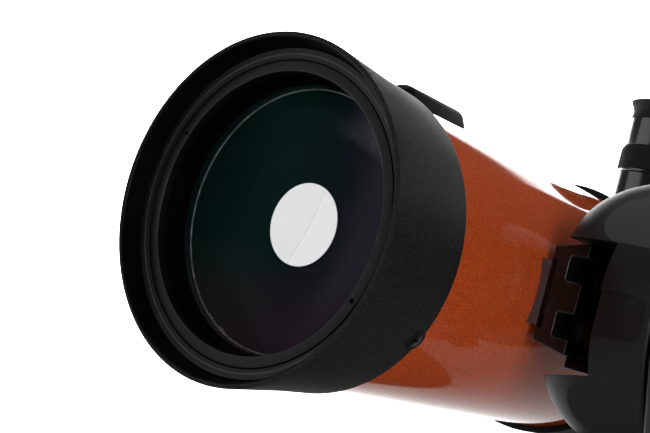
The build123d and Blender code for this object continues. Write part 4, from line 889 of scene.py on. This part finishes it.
grip = eye_lathe(
    "eyepiece_band",
    rounded([(84.6, 17.6), (84.6, 19.9)] + [(85.4 + k, 19.9) for k in range(10)]
            + [(95.2, 19.9), (97.45, 18.8), (97.5, 17.6)],
            [0, 0.4] + [0] * 10 + [0.8, 0.3, 0], 3),
    seg=480, ripple=grip_ribs,
)
dress(grip, "rubber", "eyepiece", "rubber_black", "eyepiece_grip")
cup = eye_lathe(
    "eyepiece_cup",
    rounded(
        [(112.5, 16.5), (112.5, 19.1), (114.5, 18.7), (116.6, 18.5), (119.0, 19.3), (121.3, 20.7),
         (122.0, 20.8), (122.0, 19.4), (118.5, 16.5)],
        [0, 0.3, 2, 2, 3, 0.6, 0.4, 0.5, 1.5], 5,
    ),
)
dress(cup, "rubber", "eyepiece", "rubber_black", "eyecup")
eye_face = [(112.5 - (11.5 * k / 10) ** 2 / 60, 11.4 * k / 10) for k in range(1, 11)]
eye_lens = eye_lathe("eye_lens_glass", [(112.5, 0)] + eye_face + [(107.5, 11.4), (107.5, 0)], seg=96)
dress(eye_lens, "eye_glass", "eyepiece", "lens_glass", "eye_lens")

# ------------------------------------------------------------------ dovetail bar
BAR = [
    (61.5, 13.2), (61.5, 18.7), (76.3, 22.0), (76.3, 16.0), (69.0, 16.0), (69.0, 6.0), (76.3, 6.0), (76.3, -6.0),
    (69.0, -6.0), (69.0, -16.0), (76.3, -16.0), (76.3, -22.0), (61.5, -18.7), (61.5, -13.2),
    (63.5, -13.2), (63.5, 13.2),
]
BAR_RADII = [0.3, 0.8, 1.1, 0.7, 1.0, 1.0, 0.6, 0.6, 1.0, 1.0, 0.7, 1.1, 0.8, 0.3, 0.3, 0.3]
BAR_LENGTH, BAR_END = 96.0, 205.0
BLOCK_LENGTH, BLOCK_HALF_ANGLE = 21.5, 12.9
bar = prism("dovetail", rounded(BAR, BAR_RADII, 4), (0, BAR_END, 0), X_AXIS, Z_AXIS, BAR_LENGTH, edge=0.45)
dress(bar, "bar", "tube", "bar_anodised", "dovetail_bar")


def bar_highlight_faces(c, r, poly):
    """The rounded rims of both ends, and the rounded long corners, where the lighter colour is a painted
    highlight.
    """
    facing, across, upward = (abs(poly.normal.dot(d)) for d in (REAR, RIGHT, UP))
    corner = facing < 0.1 and min(across, upward) > 0.3 and not 0.9 < upward < 0.985
    return 0.15 < facing < 0.97 or (corner and abs(c.x - 72.6) < 4.2 and poly.area < 4e-5)


# The bar's rounded rims and corners get the lighter colour: a painted highlight.
paint(bar, "bar_rim_highlight", bar_highlight_faces)
for i, start in enumerate((109.5, 183.0)):
    turns = [math.radians(BLOCK_HALF_ANGLE * (1 - k / 6)) for k in range(13)]
    block = prism(
        f"dovetail_block_{i + 1}",
        [(63.45, -13.0), (63.45, 13.0)] + [(TUBE_R * math.cos(t), TUBE_R * math.sin(t)) for t in turns],
        (0, start + BLOCK_LENGTH, 0), X_AXIS, Z_AXIS, BLOCK_LENGTH, edge=0.25, steps=2,
    )
    dress(block, "block", "tube", "ring_black", "dovetail_blocks")

# ------------------------------------------------------------------ finder
origin, out, side, rear = radial_frame(119.5, 115.0)
FINDER = rounded([(-26, -14), (26, -14), (26, 14), (-26, 14)], 7.5, 8)
finder = prism(
    "finder_shell", FINDER, origin + out * 60.6, rear, out.cross(rear), 14.8, edge=5.0, steps=8,
)
dress(finder, "finder", "tube", "gloss_black", "finder_body")

# ------------------------------------------------------------------ hub and saddle
SHOULDER_R, HUB_R, PLATE_X = 40.0, 54.0, 96.0


def shoulder(x):
    """The drum's radius where it swells from the tube's side to the widest part."""
    return HUB_R - SHOULDER_R + math.sqrt(SHOULDER_R**2 - (PLATE_X - x) ** 2)


neck = [math.radians(53.13 * k / 7) for k in range(1, 7)]
swell = [72 + 24 * k / 20 for k in range(21)]
hub = lathe(
    "hub_drum",
    [(HUB_INNER_X, 0), (HUB_INNER_X, 42)] + [(75 - 5 * math.cos(t), 42 + 5 * math.sin(t)) for t in neck]
    + [(x, shoulder(x)) for x in swell]
    + [(116.8, HUB_R), (117.6, 53.6), (HUB_OUTER_X, 52.8), (HUB_OUTER_X, 49.4), (117.6, 49), (100.6, 49),
       (100, 48.4), (100, 18.6), (100.6, 18), (117.4, 18), (HUB_OUTER_X, 17.4), (HUB_OUTER_X, 0)],
    (0, PIVOT_S, 0), X_AXIS, Y_AXIS, seg=256,
)


def hub_scoop(angle, distance):
    """A flat-bottomed pocket in the drum's rim, at an angle above the tube's forward direction."""
    t = math.radians(angle)
    out = Vector((0, -math.cos(t), math.sin(t)))
    return prism(
        "tool", rounded([(60, -17), (113.5, -17), (113.5, 17), (60, 17)], [0, 2.5, 2.5, 0], 6),
        Vector((0, PIVOT_S, 0)) + out * distance, X_AXIS, out.cross(RIGHT), 10, edge=0,
    )


def hub_channel(outline, end, length):
    """A cut that runs along the tube's direction."""
    return prism("tool", outline, (0, end, 0), X_AXIS, Z_AXIS, length, edge=0)


cut(
    hub,
    hub_channel([(60, -32.6), (72, -31), (PLATE_X, -26.8), (PLATE_X, 22.06), (60, 22.06)], 210, 140),
    hub_channel([(66, 21.5), (PLATE_X, 21.5), (PLATE_X, 26.05), (66, 26.05)], 162.1, 44.2),
    hub_channel(rounded([(90, -12), (114, -12), (114, 4), (90, 4)], [0, 3, 3, 0], 6), 87.6, 12),
    hub_scoop(37.0, 52.7),
    hub_scoop(-46.0, 52.5),
    lathe("tool", [(20, 0), (20, 2.56), (60, 2.56), (60, 0)], (CLAMP_X, PIVOT_S, 0), (0, 0, -1), Y_AXIS, seg=32),
)
bevel(hub, 0.55, 3, 12.0)
dress(hub, "hub", "hub", "hub_grey", "altitude_hub")

SADDLE = [
    (70.35, 20.72), (76.35, 22.06), (76.35, -21.95), (95.95, -21.95), (95.95, 25.9), (71.2, 25.9), (70.35, 25.0),
]
JAW = [(70.35, -20.75), (76.4, -22.1), (83.95, -22.1), (83.95, -26.2), (70.35, -26.2)]
saddle = prism(
    "saddle", rounded(SADDLE, [0.3, 0.2, 0.3, 0.3, 0.3, 0.6, 0.4], 4), (0, 162.0, 0), X_AXIS, Z_AXIS, 44.0,
)
dress(saddle, "ring", "hub", "bar_anodised", "dovetail_saddle")
jaw = prism(
    "clamp_jaw", rounded(JAW, [0.5, 0.2, 0.5, 0.7, 0.7], 4), (0, 158.0, 0), X_AXIS, Z_AXIS, 36.0, edge=0.8,
)
dress(jaw, "ring", "jaw", "bar_anodised", "saddle_jaw")


def lobes(along, radius, turn):
    """The clamp knob's six finger grips."""
    if radius < 6:
        return 0.0
    return -LOBE_DEPTH * max(0.0, math.cos(LOBES * turn)) ** 1.5


clamp = lathe(
    "clamp_grip",
    rounded([(26.4, 0), (26.4, 2.45), (52.5, 2.45), (52.5, 7.9), (64.5, 7.9), (64.5, 0)],
            [0, 0.3, 0, 1.2, 1.6, 0], 5),
    (CLAMP_X, PIVOT_S, 0), (0, 0, -1), Y_AXIS, seg=144, ripple=lobes,
)
dress(clamp, "gloss", "clamp", "gloss_black", "clamp_knob")

# ------------------------------------------------------------------ arm
# Both outlines are in the world's millimetres: a rounded head tangent to two sides that spread to the foot.
HEAD_Z, HEAD_R, FOOT_HALF, FOOT_Z, FOOT_CORNER = 325.0, 56.0, 58.0, 82.0, 8.0
HEAD_STEPS = 48
FOOT_DROP = FOOT_Z - HEAD_Z
TOUCH = math.atan2(FOOT_DROP, FOOT_HALF) + math.acos(HEAD_R / math.hypot(FOOT_HALF, FOOT_DROP))
COVER_SCREWS = ((-38, 306), (38, 306), (-46, 92), (46, 92))


def arm_outline(shrink=0.0):
    r = HEAD_R - shrink
    turns = [TOUCH + (math.pi - 2 * TOUCH) * k / HEAD_STEPS for k in range(HEAD_STEPS + 1)]
    head = [(r * math.cos(a), HEAD_Z + r * math.sin(a)) for a in turns]
    feet = [(shrink - FOOT_HALF, FOOT_Z + shrink), (FOOT_HALF - shrink, FOOT_Z + shrink)]
    return rounded(feet + head, [FOOT_CORNER] * 2 + [0] * len(head), 6)


arm = prism(
    "arm_body", arm_outline(), (119.5, 0, 0), Y_AXIS, Z_AXIS, 40.4, matrix=WORLD, edge=1.8, steps=4,
)
dress(arm, "arm", "turntable", "arm_charcoal", "arm_shell")
cover = prism(
    "arm_side_cover", arm_outline(0.35), (160.0, 0, 0), Y_AXIS, Z_AXIS, 4.0, matrix=WORLD, edge=1.9, steps=4,
)
tools = [
    lathe("tool", [(161.8, 0), (161.8, 3.4), (166, 3.4), (166, 0)], (0, y, z), X_AXIS, Y_AXIS,
          matrix=WORLD, seg=32)
    for y, z in COVER_SCREWS
]
cut(cover, *tools)
dress(cover, "arm", "turntable", "arm_charcoal", "arm_cover")

# ------------------------------------------------------------------ materials for the CAD nodes that stay
STAY = {
    "baffle_tube": "flat_black", "primary_mirror": "mirror", "mirror_carrier": "flat_black",
    "focus_screw": "steel", "flip_mirror": "mirror", "flip_mirror_holder": "flat_black",
    "field_lens": "eye_glass", "dovetail_screws": "dark_steel", "finder_base": "finder",
    "finder_window": "eye_glass", "finder_knob": "finder", "altitude_shaft": "steel",
    "altitude_bearings": "bronze", "arm_cover_screws": "dark_steel", "turntable_housing": "arm",
    "battery_door": "arm", "battery_holder": "gloss", "battery_cells": "battery", "socket_panel": "gloss",
    "power_switch": "gloss", "bubble_level": "vial", "base_plate": "arm", "azimuth_spindle": "steel",
    "azimuth_bearing": "nylon", "rubber_feet": "rubber",
}
for node, key in STAY.items():
    o = frame["nodes"][node]
    for slot in o.material_slots:
        slot.link = "OBJECT"
        slot.material = M[key]

# ------------------------------------------------------------------ stage
FLOOR_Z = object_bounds()[0][2]
FLOOR_HALF = 16.0
WALL_R, WALL_TOP = 7.0, 1.42
WALL_TURNS = [math.radians(a) for a in range(96, 162, 3)]
BEHIND = Vector((-0.656, 0.755, 0.0))


def stage_material(name, low, high, start, end, direction):
    """Pale and matt, with a glow that changes along a direction so that it reads as an even white behind."""
    m, nodes, links, shader, coords = new_material(name)
    slow = noise(nodes, links, coords, 1.5, 3.0)
    pale = ramp(nodes, links, slow, [(0.3, (0.56, 0.56, 0.56)), (0.7, (0.59, 0.59, 0.59))])
    links.new(pale, shader.inputs["Base Color"])
    links.new(spread(nodes, links, slow, 0.6, 0.7), shader.inputs["Roughness"])
    shader.inputs["Specular IOR Level"].default_value = 0.1
    back = along(nodes, links, coords, direction, Vector((0, 0, 0)))
    links.new(spread(nodes, links, back, low, high, start, end), shader.inputs["Emission Strength"])
    shader.inputs["Emission Color"].default_value = (1, 1, 1, 1)
    return m


STAGE = {
    "floor": stage_material("pale_floor", 0.03, 5.0, 0.08, 1.3, BEHIND),
    "low_backdrop": stage_material("pale_backdrop", 6.0, 0.0, 1.05, 1.40, Vector((0, 0, 1))),
}


def stage_sheet(name, rows):
    """A sheet through rows of points, in the material of its name."""
    bm = bmesh.new()
    grid = [[bm.verts.new(p) for p in row] for row in rows]
    for a, b in zip(grid, grid[1:]):
        for i in range(len(a) - 1):
            bm.faces.new((a[i], a[i + 1], b[i + 1], b[i]))
    mesh = bpy.data.meshes.new(name)
    bm.to_mesh(mesh)
    bm.free()
    o = bpy.data.objects.new(name, mesh)
    bpy.context.scene.collection.objects.link(o)
    o.data.materials.append(STAGE[name])


stage_sheet("floor", [[(x, y, FLOOR_Z) for x in (-FLOOR_HALF, FLOOR_HALF)] for y in (-FLOOR_HALF, FLOOR_HALF)])
stage_sheet("low_backdrop", [
    [(WALL_R * math.cos(a), WALL_R * math.sin(a), z) for a in WALL_TURNS] for z in (FLOOR_Z, WALL_TOP)
])


def area_light(name, position, target, size, power):
    light = bpy.data.lights.new(name, "AREA")
    light.shape = "RECTANGLE"
    light.size, light.size_y = size
    light.energy = power
    o = bpy.data.objects.new(name, light)
    bpy.context.scene.collection.objects.link(o)
    o.location = position
    o.rotation_euler = (Vector(target) - Vector(position)).to_track_quat("-Z", "Y").to_euler()


area_light("overhead_softbox", (-0.5, 0.9, 2.2), (0, 0, 0.3), (2.0, 1.3), 12)
area_light("left_softbox", (-1.55, -1.6, 1.12), (0, -0.1, 0.37), (2.2, 2.0), 18.5)
area_light("right_softbox", (1.7, -1.3, 1.05), (0, -0.12, 0.38), (0.8, 0.9), 23)

world = bpy.data.worlds.new("studio")
bpy.context.scene.world = world
world.use_nodes = True
background = world.node_tree.nodes["Background"]
background.inputs["Color"].default_value = (1, 1, 1, 1)
background.inputs["Strength"].default_value = 0.06
bpy.context.scene.view_settings.view_transform = "Standard"

# ------------------------------------------------------------------ camera
FOCAL_MM, SENSOR_MM = 71.14, 36.0
CAMERA_FROM_RIM = Vector((0.3085, -0.3131, 0.1064))
CAMERA_LOOKS = Vector((-0.636, 0.732, -0.244))
camera = bpy.data.cameras.new("camera")
camera.lens = FOCAL_MM
camera.sensor_width = SENSOR_MM
camera.clip_start = 0.02
camera.clip_end = 60.0
cam = bpy.data.objects.new("camera", camera)
bpy.context.scene.collection.objects.link(cam)
cam.location = RIM + CAMERA_FROM_RIM
cam.rotation_euler = CAMERA_LOOKS.to_track_quat("-Z", "Y").to_euler()
bpy.context.scene.camera = cam
